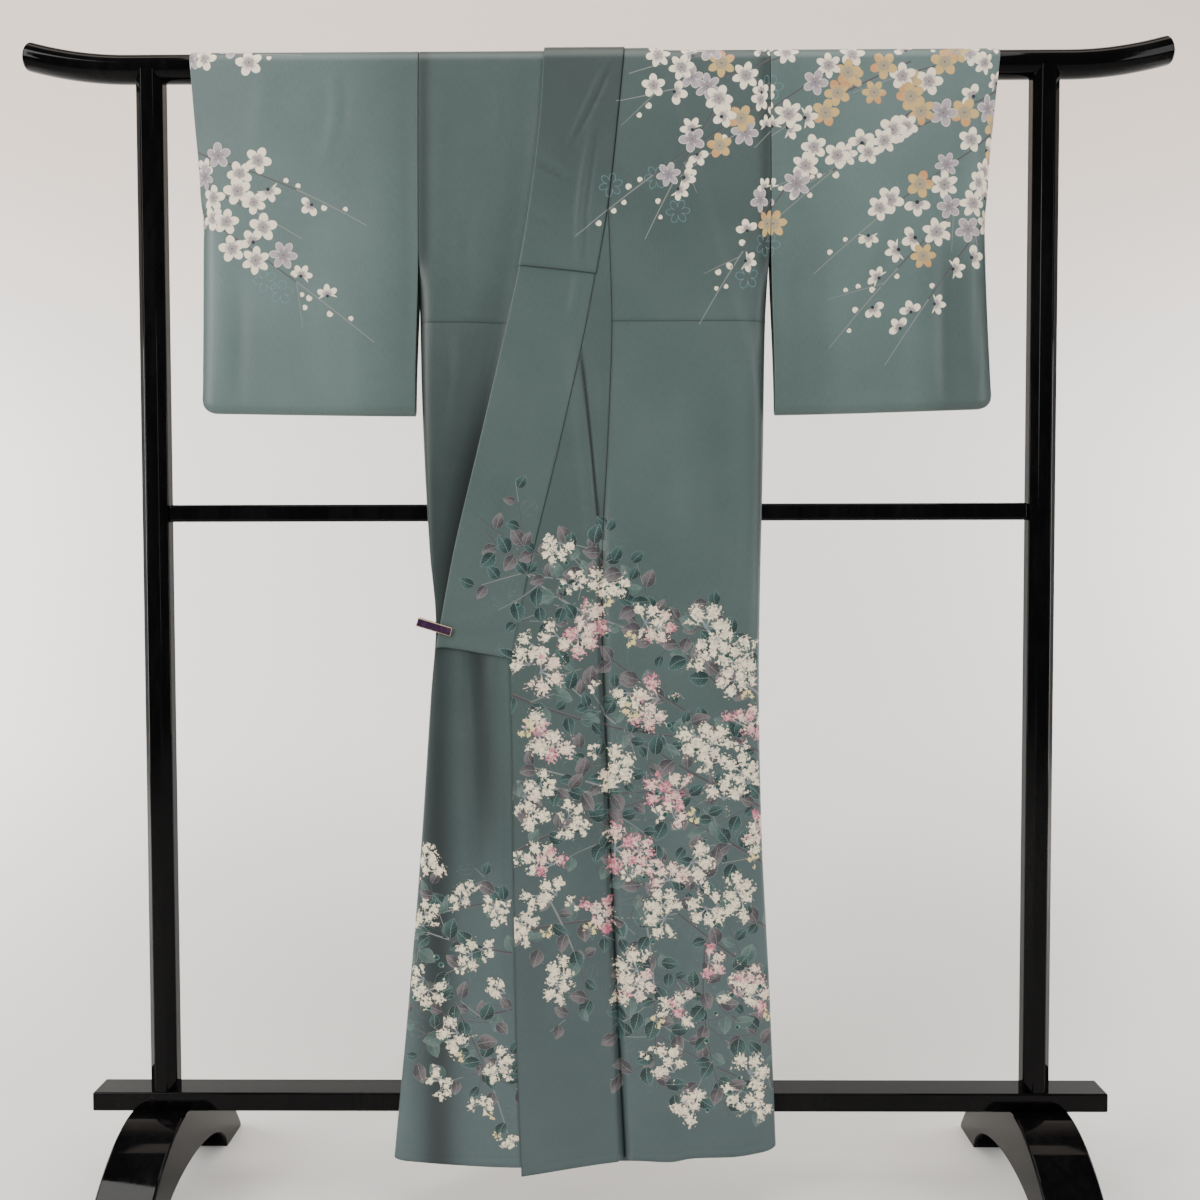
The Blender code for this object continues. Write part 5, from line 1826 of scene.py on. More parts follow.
def leaf_group() -> NodeTree:
    """Draws a broad pointed leaf with a fine pale outline, its rib and its veins.

    Returns:
        The group.
    """
    own = MotifGroup(Layer.LEAF)
    mix = own.graph.mix
    v = own.v + own.u * own.u * (own.seed - 0.5) * 0.34
    across = abs(v)
    body = (1.0 - own.u * own.u).or_more(0.0) ** 0.82
    inside = body * (0.62 - own.u * 0.19) - across + own.rough[0] * 0.05
    shade = (own.u * 0.6 + v + own.rough[1] * 1.4).ramp(-0.75, 0.75)
    colour = mix(shade, (0.008, 0.025, 0.025), (0.046, 0.100, 0.094))
    for kind, dark, light in (
        (Leaf.SAGE, (0.060, 0.112, 0.100), (0.140, 0.205, 0.185)),
        (Leaf.MAUVE, (0.046, 0.038, 0.046), (0.165, 0.140, 0.148)),
    ):
        colour = mix(own.is_a(kind), colour, mix(shade, dark, light))
    rib = across.ramp(0.040, 0.012) * own.u.ramp(0.9, 0.7) * 0.5
    slant = abs(((own.u - across * 0.9) * 3.1).fraction() - 0.5)
    edge = inside.ramp(0.08, 0.03) * (own.rough[2] * 2.0 + 0.5)
    line = rib.or_more(slant.ramp(0.10, 0.03) * 0.18).or_more(edge)
    solid_part = 1.0 - own.is_a(Leaf.SAGE) * 0.30 - own.is_a(Leaf.BARE)
    mask = inside.ramp(0.0, 0.04) * solid_part.or_more(line * 0.8) * 0.94
    return own.finish(mix(line, colour, (0.30, 0.36, 0.33)), mask)


def stem_group() -> NodeTree:
    """Draws one straight stroke of a stem, lit along one edge.

    Returns:
        The group.
    """
    own = MotifGroup(Layer.STEM)
    mix = own.graph.mix
    colour = mix(own.is_a(Stem.PALE), (0.068, 0.058, 0.064), (0.21, 0.225, 0.215))
    colour = mix(own.v.ramp(0.1, 0.8) * 0.4, colour, (0.26, 0.25, 0.245))
    return own.finish(colour, abs(own.u).ramp(1.05, 1.0) * abs(own.v).ramp(1.0, 0.7) * 0.92)


def new_material(name: str) -> tuple[Material, Graph, Node]:
    """Makes a material.

    Args:
        name: Its name.

    Returns:
        The material, its graph and its Principled shader.
    """
    material = bpy.data.materials.new(name)
    material.use_nodes = True
    return material, Graph(material.node_tree), material.node_tree.nodes["Principled BSDF"]


def set_sockets(shader: Node, values: dict[str, Value]) -> None:
    """Gives a shader's own sockets their plain values."""
    for name, value in values.items():
        shader.inputs[name].default_value = value


@dataclass(frozen=True)
class Finish:
    """A smooth hard finish whose colour, gloss and surface vary a little."""

    name: str
    colour: Colour
    cloudy: Colour
    gloss: Pair
    wave_size: float
    wave_stretch: float
    wave_height: float
    sockets: tuple[tuple[str, float], ...] = ()

    def make(self, uneven: NodeTree) -> Material:
        """Makes the material.

        Args:
            uneven: The shared group for slight unevenness.

        Returns:
            The new material.
        """
        material, graph, shader = new_material(self.name)
        waves = graph.node("Group", node_tree=uneven)
        set_sockets(waves, {"Size": self.wave_size, "Stretch": self.wave_stretch})
        value = Wire(graph, waves.outputs["Value"])
        graph.put(shader.inputs["Base Color"], graph.mix(value.ramp(0.4, 0.72), self.colour, self.cloudy))
        graph.put(shader.inputs["Roughness"], value.ramp(0.3, 0.75, *self.gloss))
        height = waves.outputs["Height"]
        bump = graph.node("Bump", {"Strength": 0.3, "Distance": self.wave_height, "Height": height})
        graph.put(shader.inputs["Normal"], bump.outputs[0])
        set_sockets(shader, dict(self.sockets))
        return material


LACQUER = Finish(
    "black lacquer", (0.0016, 0.0015, 0.0018), (0.0045, 0.0044, 0.0046), (0.03, 0.10), 0.09, 4.0, 0.00025,
    (("Specular IOR Level", 0.10),),
)
GOLD_PLATE = Finish(
    "pale gold plate", (0.66, 0.52, 0.32), (0.42, 0.34, 0.24), (0.20, 0.42), 0.004, 3.0, 0.0001,
    (("Metallic", 1.0),),
)
PLUM_ENAMEL = Finish(
    "plum enamel", (0.030, 0.008, 0.034), (0.060, 0.022, 0.064), (0.12, 0.26), 0.006, 1.5, 0.0002,
    (("Coat Weight", 0.6), ("Coat Roughness", 0.05)),
)


class Silk:
    """Deep grey-green silk crepe with a soft satin light on it, and the pattern dyed into it."""

    deep: Colour = (0.101, 0.151, 0.143)
    pale: Colour = (0.135, 0.193, 0.183)
    # Painted light: low down the ground is tinted bluer, where the light off the floor was bluer.
    bluer_down: Pair = (0.70, 1.40)
    bluer: float = 1.08
    sheen: float = 0.03
    gloss: Pair = (0.36, 0.47)
    specular: float = 0.36
    crepe_scale: float = 520.0
    line_roughness: float = 225.0
    weave_height: float = 0.00012
    ply_scale: float = 900.0
    thread_dark: Colour = (0.020, 0.032, 0.029)
    thread_light: Colour = (0.045, 0.066, 0.060)

    def __init__(self) -> None:
        """Draws the four layers' groups."""
        makers = (stem_group, leaf_group, frill_group, blossom_group)
        self.groups = {layer: make() for layer, make in zip(Layer, makers)}
        self.made: dict[tuple[int, ...], Material] = {}
        self.thread = self.make_thread()

    def make_thread(self) -> Material:
        """Makes the sewing thread, dyed a little darker than the silk, with its ply twisted round it.

        Returns:
            The material.
        """
        material, graph, shader = new_material("silk sewing thread")
        place = graph.node("TexCoord").outputs["Object"]
        twist = {"Vector": place, "Scale": self.ply_scale, "Distortion": 1.5}
        ply = graph.node("TexWave", twist, bands_direction="DIAGONAL")
        colour = graph.mix(ply.outputs["Fac"], self.thread_dark, self.thread_light)
        graph.put(shader.inputs["Base Color"], colour)
        graph.put(shader.inputs["Roughness"], Wire(graph, ply.outputs["Fac"]).ramp(0.0, 1.0, 0.42, 0.58))
        return material

    def with_motifs(self, counts: tuple[int, ...]) -> Material:
        """The silk that draws up to a number of motifs in each layer.

        Args:
            counts: The number of each layer, the lowest layer first.

        Returns:
            The material, made on the first call for it.
        """
        if counts not in self.made:
            self.made[counts] = self.make(counts)
        return self.made[counts]

    def make(self, counts: tuple[int, ...]) -> Material:
        """Makes the silk for a number of motifs in each layer.

        Args:
            counts: The number of each layer, the lowest layer first.

        Returns:
            The material.
        """
        material, graph, shader = new_material("grey-green silk " + "".join(map(str, counts)))
        place, tone = graph.attribute("place"), graph.attribute("tone", "Fac")
        threads = graph.node("VectorMath", {0: place, 1: (1.0, 0.22, 1.0)}, operation="MULTIPLY").outputs[0]
        crepe = graph.noise(threads, self.crepe_scale, 3.0, 0.62)
        shade = graph.noise(place, 7.0, 3.0) * 0.45 + crepe * 0.36
        # The tone holds the ground's tone with painted light and shade, and its blue part is painted bluer
        # low down.
        blue = tone * abs(graph.parts(place)[1]).ramp(*self.bluer_down, 1.0, self.bluer)
        tones = graph.node("CombineXYZ", {0: tone, 1: tone, 2: blue}).outputs[0]
        dyed = graph.mix(1.0, graph.mix(shade.ramp(0.2, 0.6), self.deep, self.pale), tones, "MULTIPLY")
        rough = graph.noise(place, self.line_roughness, 2.0, 0.62, "Color") if any(counts) else None
        for layer, count in zip(Layer, counts):
            for slot in reversed(range(count)):
                motif = graph.node("Group", node_tree=self.groups[layer])
                graph.put(motif.inputs["Place"], graph.attribute(f"{layer.value[0]}_{slot}"))
                graph.put(motif.inputs["Rough"], rough)
                dyed = graph.mix(motif.outputs["Mask"], dyed, motif.outputs["Colour"])
        graph.put(shader.inputs["Base Color"], dyed)
        graph.put(shader.inputs["Roughness"], crepe.ramp(0.25, 0.75, *self.gloss))
        bump = graph.node("Bump", {"Strength": 0.25, "Distance": self.weave_height, "Height": crepe})
        graph.put(shader.inputs["Normal"], bump.outputs[0])
        set_sockets(shader, {
            "Sheen Weight": self.sheen, "Sheen Roughness": 0.35, "Sheen Tint": (0.80, 0.92, 0.90, 1.0),
            "Specular IOR Level": self.specular,
        })
        return material


# ---------------------------------------------------------------- stand
FLAT_FACES_FIRST = 80


def solid(points: Sequence[Sequence[float]], faces: Sequence[Sequence[int]]) -> Work:
    """Starts a mesh with its faces pointing out.

    Args:
        points: Its points.
        faces: The points of each face.

    Returns:
        The mesh under construction.
    """
    work = bmesh.new()
    made = [work.verts.new(point) for point in points]
    for face in faces:
        work.faces.new([made[k] for k in face])
    bmesh.ops.recalc_face_normals(work, faces=work.faces)
    return work


def prism(ends: Sequence[Sequence[Triple]]) -> Work:
    """Starts a mesh between two outlines with as many points.

    Args:
        ends: The two outlines.

    Returns:
        The mesh under construction.
    """
    count = len(ends[0])
    faces = [tuple(range(count)), tuple(range(count, 2 * count))]
    faces += [(k, (k + 1) % count, count + (k + 1) % count, count + k) for k in range(count)]
    return solid([*ends[0], *ends[1]], faces)


def tube(first: int, rings: int, sides: int) -> list[tuple[int, ...]]:
    """The faces of an open tube whose points are numbered ring by ring.

    Args:
        first: The first point's number.
        rings: The number of rings.
        sides: The number of points in each.

    Returns:
        The points of each face.
    """
    starts = range(first, first + (rings - 1) * sides, sides)
    around = [(k, (k + 1) % sides) for k in range(sides)]
    return [(ring + a, ring + b, ring + b + sides, ring + a + sides) for ring in starts for a, b in around]


def settle(name: str, work: Work) -> Piece:
    """Turns a mesh under construction into a smooth piece whose flat faces stay flat.

    Args:
        name: The piece's name.
        work: The mesh under construction.

    Returns:
        The piece.
    """
    mesh = bpy.data.meshes.new(name)
    work.to_mesh(mesh)
    work.free()
    mesh.shade_smooth()
    piece = link(name, mesh)
    even = piece.modifiers.new("flat faces stay flat", "WEIGHTED_NORMAL")
    even.weight = FLAT_FACES_FIRST
    return piece


def round_over(work: Work, edges: Sequence[bmesh.types.BMEdge], width: float, **options: object) -> None:
    """Rounds some edges over."""
    bmesh.ops.bevel(work, geom=edges, offset=width, profile=0.5, affect="EDGES", **options)


def round_sharp(work: Work, width: float, least_angle: float, segments: int) -> None:
    """Rounds every edge that is sharper than an angle.

    Args:
        work: The mesh under construction.
        width: How far to round.
        least_angle: The angle, in degrees.
        segments: The steps of the rounding.
    """
    sharp = [e for e in work.edges if e.is_manifold and e.calc_face_angle() > math.radians(least_angle)]
    round_over(work, sharp, width, segments=segments, clamp_overlap=True)


def declare(piece: Piece, node: str = "") -> None:
    """Declares what carries a piece and which solid it stands for, and logs it.

    Args:
        piece: The piece.
        node: The node of its solid, if it has one.
    """
    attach(piece, "root")
    if node:
        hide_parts(node)
    LOG.info("%s: %d faces", piece.name, len(piece.data.polygons))


@dataclass(frozen=True)
class Stand:
    """The lacquered stand: a top rail with upturned ends, two posts, a mid rail, a base beam and two feet."""

    lacquer: Material
    rail_half: float = 0.790
    rail_bend: float = 0.650
    rail_rise: float = 0.019
    rail_sides: int = 56
    rail_dome: float = 0.001
    rail_end_round: float = 0.003
    rail_bend_steps: int = 20
    rail_round_steps: int = 4
    post_x: float = 0.620
    post_width: float = 0.037
    post_chamfer: float = 0.010
    post_round: float = 0.0016
    mid_z: float = 0.977
    mid_height: float = 0.024
    mid_depth: float = 0.022
    mid_round: float = 0.0045
    beam_top: float = 0.158
    beam_height: float = 0.0265
    beam_depth: float = 0.042
    beam_half: float = 0.717
    beam_round: float = 0.0025
    foot_width: float = 0.080
    foot_reach: float = 0.185
    foot_notch: float = 0.0025
    foot_tip: float = 0.010
    arch_reach: float = 0.125
    arch_height: float = 0.060
    foot_round: float = 0.0035
    foot_back_steps: int = 24
    arch_steps: int = 18

    def rail(self) -> Piece:
        """Makes the round top rail, its ends turned up and rounded over.

        Returns:
            The piece.
        """
        bend, steps, last = self.rail_half - self.rail_bend, self.rail_bend_steps, self.rail_round_steps
        turns = [math.pi / 2 * k / last for k in range(last + 1)]
        half = [(self.rail_bend + bend * k / steps, RAIL_RADIUS) for k in range(steps)]
        half += [(
            self.rail_half - self.rail_end_round * (1 - math.sin(turn)),
            RAIL_RADIUS - self.rail_end_round * (1 - math.cos(turn)),
        ) for turn in turns]
        stations = [(-x, r) for x, r in reversed(half)] + half
        points = []
        for x, radius in stations:
            past = max(abs(x) - self.rail_bend, 0.0) / bend
            lean = math.copysign(math.atan(2 * self.rail_rise * past / bend), x)
            centre = RAIL_AXIS_Z + self.rail_rise * past * past
            for k in range(self.rail_sides):
                angle = math.tau * k / self.rail_sides
                y, up = radius * math.cos(angle), radius * math.sin(angle)
                points.append((x - up * math.sin(lean), y, centre + up * math.cos(lean)))
        faces = tube(0, len(stations), self.rail_sides)
        for ring in (0, len(stations) - 1):
            x = stations[ring][0]
            middle = len(points)
            points.append((x + math.copysign(self.rail_dome, x), 0.0, RAIL_AXIS_Z + self.rail_rise))
            rim = [ring * self.rail_sides + k for k in range(self.rail_sides)]
            faces += [(a, b, middle) for a, b in zip(rim, rim[1:] + rim[:1])]
        return settle("top_rail_lacquered", solid(points, faces))

    def post(self, name: str, x: float) -> Piece:
        """Makes an eight-sided post whose top is hollowed to sit under the rail.

        Args:
            name: The piece's name.
            x: Its middle.

        Returns:
            The piece.
        """
        half, cut = self.post_width / 2, self.post_width / 2 - self.post_chamfer
        low, saddle = self.beam_top + GAP, RAIL_RADIUS + GAP
        outline = [(cut, -half), (half, -cut), (half, -cut / 3), (half, cut / 3), (half, cut), (cut, half)]
        points = []
        for width, y in outline:
            top = RAIL_AXIS_Z - math.sqrt(saddle ** 2 - y ** 2)
            points += [(x + width, y, low), (x - width, y, low), (x + width, y, top), (x - width, y, top)]
        faces = [(0, 1, 3, 2), (20, 21, 23, 22)]
        for k in range(len(outline) - 1):
            a, b = 4 * k, 4 * k + 4
            faces += [(a + m, a + n, b + n, b + m) for m, n in ((0, 2), (1, 3), (0, 1), (2, 3))]
        work = solid(points, faces)
        upright = [
            e for e in work.edges
            if abs(e.verts[0].co.z - e.verts[1].co.z) > 1.0 and e.calc_face_angle() > math.radians(20)
        ]
        round_over(work, upright, self.post_round, segments=4)
        return settle(name, work)

    def bar(self, name: str, size: Triple, z: float, rounding: float) -> Piece:
        """Makes a straight bar with rounded edges.

        Args:
            name: The piece's name.
            size: Its sizes.
            z: The height of its middle.
            rounding: How far its edges are rounded.

        Returns:
            The piece.
        """
        work = bmesh.new()
        bmesh.ops.create_cube(work, size=1.0)
        bmesh.ops.scale(work, vec=size, verts=work.verts)
        bmesh.ops.translate(work, vec=(0.0, 0.0, z), verts=work.verts)
        round_sharp(work, rounding, 40, 4)
        return settle(name, work)

    def foot(self, name: str, x: float) -> Piece:
        """Makes an arched foot that the beam is let into.

        Args:
            name: The piece's name.
            x: Its middle.

        Returns:
            The piece.
        """
        seat = self.beam_top - self.beam_height - GAP
        crest, notch_y = seat + self.foot_notch, self.beam_depth / 2 + GAP
        half = [(-notch_y, seat), (-notch_y, crest)]
        for k in range(1, self.foot_back_steps + 1):
            share = math.sin(math.pi / 2 * k / self.foot_back_steps)
            y = notch_y + (self.foot_reach - notch_y) * share
            half.append((-y, self.foot_tip + (crest - self.foot_tip) * (1 - share * share)))
        half.append((-self.foot_reach, 0.0))
        for k in range(self.arch_steps):
            angle = math.pi / 2 * k / self.arch_steps
            half.append((-self.arch_reach * math.cos(angle), self.arch_height * math.sin(angle)))
        outline = half + [(0.0, self.arch_height)] + [(-y, z) for y, z in reversed(half)]
        sides = (-self.foot_width / 2, self.foot_width / 2)
        work = prism([[(x + w, y, z) for y, z in outline] for w in sides])
        rims = [
            e for e in work.edges
            if abs(e.verts[0].co.x - e.verts[1].co.x) < NORMAL_STEP
            and max(abs(v.co.y) for v in e.verts) > notch_y + NORMAL_STEP
            and all(self.on_back(v.co) for v in e.verts)
        ]
        round_over(work, rims, self.foot_round, segments=4)
        return settle(name, work)

    def on_back(self, at: Vector) -> bool:
        """Whether a point of a foot is on its upper side, clear of the arch and of the ground."""
        return at.z > self.arch_height or abs(at.y) > self.arch_reach and at.z > self.foot_tip / 2

    def build(self) -> None:
        """Makes every part of the stand and puts it in place of its solid."""
        mid_size = (2 * (self.post_x - self.post_width / 2 - GAP), self.mid_depth, self.mid_height)
        beam_size = (2 * self.beam_half, self.beam_depth, self.beam_height)
        beam_z = self.beam_top - self.beam_height / 2
        pieces = {
            "rail_top": self.rail(),
            "post_left": self.post("left_post_lacquered", self.post_x),
            "post_right": self.post("right_post_lacquered", -self.post_x),
            "rail_mid": self.bar("mid_rail_lacquered", mid_size, self.mid_z, self.mid_round),
            "beam_base": self.bar("base_beam_lacquered", beam_size, beam_z, self.beam_round),
            "foot_left": self.foot("left_foot_lacquered", self.post_x),
            "foot_right": self.foot("right_foot_lacquered", -self.post_x),
        }
        for node, piece in pieces.items():
            piece.data.materials.append(self.lacquer)
            declare(piece, node)


# ---------------------------------------------------------------- clip
@dataclass(frozen=True)
class Clip:
    """The flat spring clip that holds the gathered fold: a gilt bar bent round it, with an enamel face."""

    metal: Material
    enamel: Material
    length: float = 0.050
    height: float = 0.012
    bar: float = 0.0028
    x: float = -0.2265
    z: float = 0.818
    tilt: float = math.radians(17)
    front_y: float = -0.0265
    back_y: float = -0.0170
    back_length: float = 0.042
    rim: float = 0.0016
    face_sinks: float = 0.0004
    edge_round: float = 0.0007

    def build(self) -> None:
        """Makes the clip, with its face let into the front bar, in place of its solid."""
        half, top = self.length / 2, self.height / 2
        outer_front, outer_back = self.front_y - self.bar, self.back_y + self.bar
        heel, back_tip = -half + self.bar, -half + self.back_length
        outline = [
            (-half, outer_front), (half, outer_front), (half, self.front_y), (heel, self.front_y),
            (heel, self.back_y), (back_tip, self.back_y), (back_tip, outer_back), (-half, outer_back),
        ]
        work = prism([[(px, py, z) for px, py in outline] for z in (-top, top)])
        front = min(work.faces, key=lambda face: face.calc_center_median().y)
        bmesh.ops.inset_individual(work, faces=[front], thickness=self.rim, depth=0.0)
        level = [f for f in work.faces if abs(f.calc_center_median().y - outer_front) < NORMAL_STEP]
        face = max(level, key=lambda f: f.calc_area())
        face.material_index = 1
        for vert in face.verts:
            vert.co.y += self.face_sinks
        round_sharp(work, self.edge_round, 50, 3)
        bmesh.ops.rotate(work, verts=work.verts, matrix=Matrix.Rotation(self.tilt, 3, "Y"))
        bmesh.ops.translate(work, verts=work.verts, vec=(self.x, 0.0, self.z))
        piece = settle("clip_enamelled", work)
        for material in (self.metal, self.enamel):
            piece.data.materials.append(material)
        declare(piece, "clip")


# ---------------------------------------------------------------- sewing
@dataclass(frozen=True)
class Stitches:
    """A row of small running stitches on a piece's outer side, a little above a line. Lengths in metres."""

    name: str
    surface: Surface
    x_from: float
    x_to: float
    line: Line
    above: float
    length: float = 0.0022
    spacing: float = 0.0055
    radius: float = 0.00024
    sides: int = 5
    shares: tuple[float, ...] = (0.05, 0.55, 1.0, 1.0, 0.55, 0.05)
    stands_out: float = 0.8

    def build(self, thread: Material) -> None:
        """Sews the row: each stitch is a short rounded bar sunk a little into the cloth at both ends.

        Args:
            thread: The thread.
        """
        starts = np.arange(self.x_from, self.x_to, self.spacing)
        shares, rings = np.array(self.shares)[None, :, None], len(self.shares)
        x = starts[:, None] + np.linspace(0.0, 1.0, rings)[None, :] * self.length
        s = -(self.line.at(x) - self.above)
        middle = self.surface(x, s)
        out, up = directions(self.surface, x, s)
        angles = math.tau * np.arange(self.sides) / self.sides
        centre = middle + out * (WALL / 2 + self.radius * (shares - self.stands_out))
        spokes = np.cos(angles)[:, None] * out[:, :, None, :] + np.sin(angles)[:, None] * up[:, :, None, :]
        points = centre[:, :, None, :] + spokes * (self.radius * shares[..., None])
        faces, every = [], rings * self.sides
        for first in range(0, len(starts) * every, every):
            faces += tube(first, rings, self.sides)
            faces += [tuple(range(first, first + self.sides))[::-1]]
            faces += [tuple(range(first + every - self.sides, first + every))]
        piece = settle(self.name, solid(points.reshape(-1, 3).tolist(), faces))
        piece.data.materials.append(thread)
        declare(piece)


# ---------------------------------------------------------------- kimono
TUCK_LINE, TUCK_STITCHES_ABOVE = Line(((0, 385),)), 0.0016
HEM_STITCH, HEM_STITCH_SPACING = 0.0011, 0.0090


@dataclass(frozen=True)
class Cloth:
    """One piece of cloth: how it hangs, and the flat width, length and area that it was cut with."""

    node: str
    shape: BodyHalf | Okumi | Collar | Sleeve
    surface: Surface
    width: float
    length: float
    area: float
    rests_on: tuple[str, ...] = ()

    def hang(self) -> tuple[Piece, Grid, Side]:
        """Makes the piece in place of its solid.

        Returns:
            The piece, its grid and its side.
        """
        grid = self.shape.grid()
        piece = grid.wall(self.node + "_silk", self.surface)
        # The tone holds the ground's tone with painted light and shade.
        tone = piece.data.attributes.new("tone", "FLOAT", "POINT")
        tone.data.foreach_set("value", np.tile(tone_and_painted_light(self.node, grid).ravel(), 2))
        declare(piece, self.node)
        list(self.rests_on)
        return piece, grid, side_of(self.node)


@dataclass(frozen=True)
class Kimono:
    """The kimono's ten pieces of cloth, and its stitches."""

    silk: Silk

    def cloths(self, left: Surface, right: Surface) -> tuple[Cloth, ...]:
        """Every piece.

        Args:
            left: How the left front hangs, and the cloth behind it.
            right: The same for the right front.

        Returns:
            The pieces.
        """
        rail = ("rail_top",)
        body_left = BodyHalf(Side.LEFT, LEFT_SIDE, LEFT_COLLAR_SEAM, LEFT_OKUMI_SEAM, TOP_HEM)
        body_right = BodyHalf(Side.RIGHT, RIGHT_SIDE, RIGHT_COLLAR_SEAM, RIGHT_OKUMI_SEAM, UNDER_HEM)
        okumi_left = Okumi(OkumiEdge(LEFT_COLLAR_SEAM, LEFT_OKUMI_FREE), LEFT_OKUMI_SEAM, TOP_HEM)
        okumi_right = Okumi(RIGHT_OKUMI_SEAM, OkumiEdge(RIGHT_COLLAR_SEAM, RIGHT_OKUMI_FREE), UNDER_HEM)
        collar_left, over_left = (
            Collar(LEFT_COLLAR_FREE, LEFT_COLLAR_SEAM, end) for end in (LEFT_COLLAR_END, LEFT_COVER_END)
        )
        collar_right, over_right = (
            Collar(RIGHT_COLLAR_SEAM, RIGHT_COLLAR_FREE, end) for end in (RIGHT_COLLAR_END, RIGHT_COVER_END)
        )
        sleeve_left, sleeve_right = (
            (Sleeve(side, cuff, edge), sleeve_surface(cuff, side, creases)) for side, cuff, edge, creases in (
                (Side.LEFT, LEFT_CUFF, LEFT_SIDE, LEFT_SLEEVE_CREASES),
                (Side.RIGHT, RIGHT_CUFF, RIGHT_SIDE, RIGHT_SLEEVE_CREASES),
            )
        )
        return (
            Cloth("body_left", body_left, left, 0.245, 3.09, 0.70, rail),
            Cloth("body_right", body_right, right, 0.255, 3.10, 0.724, rail),
            Cloth("okumi_left", okumi_left, left, 0.150, 1.33, 0.141),
            Cloth("okumi_right", okumi_right, right, 0.135, 1.33, 0.126),
            Cloth("collar_left", collar_left, left, 0.112, 0.88, 0.0958),
            Cloth("collar_right", collar_right, under_front(UNDER), 0.112, 0.88, 0.0933),
            Cloth("over_collar_left", over_left, top_front(TOP_COLLAR), 0.112, 0.345, 0.0383),
            Cloth("over_collar_right", over_right, under_front(UNDER_COLLAR), 0.112, 0.345, 0.0371),
            Cloth("sleeve_left", *sleeve_left, 0.315, 1.02, 0.311),
            Cloth("sleeve_right", *sleeve_right, 0.315, 1.02, 0.313),
        )

    def build(self) -> None:
        """Cuts, hangs, dyes and sews every piece."""
        left, right = top_front(TOP), under_front(UNDER, behind_neck=True)
        canvas = Canvas([cloth.hang() for cloth in self.cloths(left, right)])
        dyer = lay_out()
        LOG.info("pattern: %d of %d motifs dyed", dyer.dye(canvas), len(dyer.motifs))
        canvas.write(self.silk.with_motifs)
        tuck_row = (TUCK_LINE, TUCK_STITCHES_ABOVE)
        top_row, under_row = (
            (hem, HEM_ROLL_UP, HEM_STITCH, HEM_STITCH_SPACING) for hem in (TOP_HEM, UNDER_HEM)
        )
        for stitches in (
            Stitches("left_tuck_stitches", left, 0.030, 0.226, *tuck_row),
            Stitches("right_tuck_stitches", right, -0.238, -0.140, *tuck_row),
            Stitches("left_hem_stitches", left, 0.044, 0.230, *top_row),
            Stitches("overlap_hem_stitches", left, -0.100, 0.030, *top_row),
            Stitches("right_hem_stitches", right, -0.262, -0.120, *under_row),
        ):
            stitches.build(self.silk.thread)
        LOG.info("silk: %d variants", len(self.silk.made))


# ---------------------------------------------------------------- stage, lights and camera
@dataclass(frozen=True)
class Stage:
    """A pale floor that curves up into a plain backdrop."""

    half_width: float = 7.0
    front: float = -4.0
    back: float = 1.15
    height: float = 5.0
    curve: float = 0.9
    steps: int = 24
    floor: Colour = (0.73, 0.72, 0.695)
    wall: Colour = (0.93, 0.915, 0.895)
    upper_wall: Colour = (0.79, 0.69, 0.62)
    floor_ends: Pair = (0.0, 0.5)
    wall_fades: Pair = (1.1, 2.0)
    gloss: Pair = (0.55, 0.7)

    def build(self, uneven: NodeTree) -> None:
        """Makes the sweep and its material.

        Args:
            uneven: The shared group for slight unevenness.
        """
        profile = [(self.front, 0.0)]
        for k in range(self.steps + 1):
            angle = math.pi / 2 * k / self.steps
            y = self.back - self.curve + self.curve * math.sin(angle)
            profile.append((y, self.curve * (1 - math.cos(angle))))
        profile.append((self.back, self.height))
        points = [(x, y, z) for y, z in profile for x in (-self.half_width, self.half_width)]
        faces = [(2 * k, 2 * k + 1, 2 * k + 3, 2 * k + 2) for k in range(len(profile) - 1)]
        mesh = bpy.data.meshes.new("sweep")
        mesh.from_pydata(points, [], faces)
        mesh.shade_smooth()
        sweep = link("sweep", mesh)
        material, graph, shader = new_material("pale sweep")
        height = graph.parts(graph.node("NewGeometry").outputs["Position"])[2]
        soft = graph.node("Group", node_tree=uneven)
        set_sockets(soft, {"Size": 0.6, "Stretch": 1.0})
        wall = graph.mix(height.ramp(*self.wall_fades), self.wall, self.upper_wall)
        graph.put(shader.inputs["Base Color"], graph.mix(height.ramp(*self.floor_ends), self.floor, wall))
        graph.put(shader.inputs["Roughness"], Wire(graph, soft.outputs["Value"]).ramp(0.3, 0.7, *self.gloss))
        behind = graph.node("NewGeometry").outputs["Backfacing"]
        clear = graph.node("BsdfTransparent").outputs[0]
        out = material.node_tree.nodes["Material Output"].inputs["Surface"]
        graph.put(out, graph.node("MixShader", {0: behind, 1: shader.outputs[0], 2: clear}).outputs[0])
        mesh.materials.append(material)


@dataclass(frozen=True)
class Lamp:
    """A soft rectangular lamp that faces a point."""

    name: str
    at: Triple
    towards: Triple
    size: Pair
    power: float
    colour: Colour = (1.0, 1.0, 1.0)

    def build(self) -> None:
        """Makes the lamp."""
        data = bpy.data.lights.new(self.name, "AREA")
        data.shape = "RECTANGLE"
        data.size, data.size_y = self.size
        data.energy = self.power
        data.color = self.colour
        placed = bpy.data.objects.new(self.name, data)
        aim = Vector(self.towards) - Vector(self.at)
        placed.matrix_world = Matrix.Translation(self.at) @ aim.to_track_quat("-Z", "Y").to_matrix().to_4x4()
        bpy.context.scene.collection.objects.link(placed)


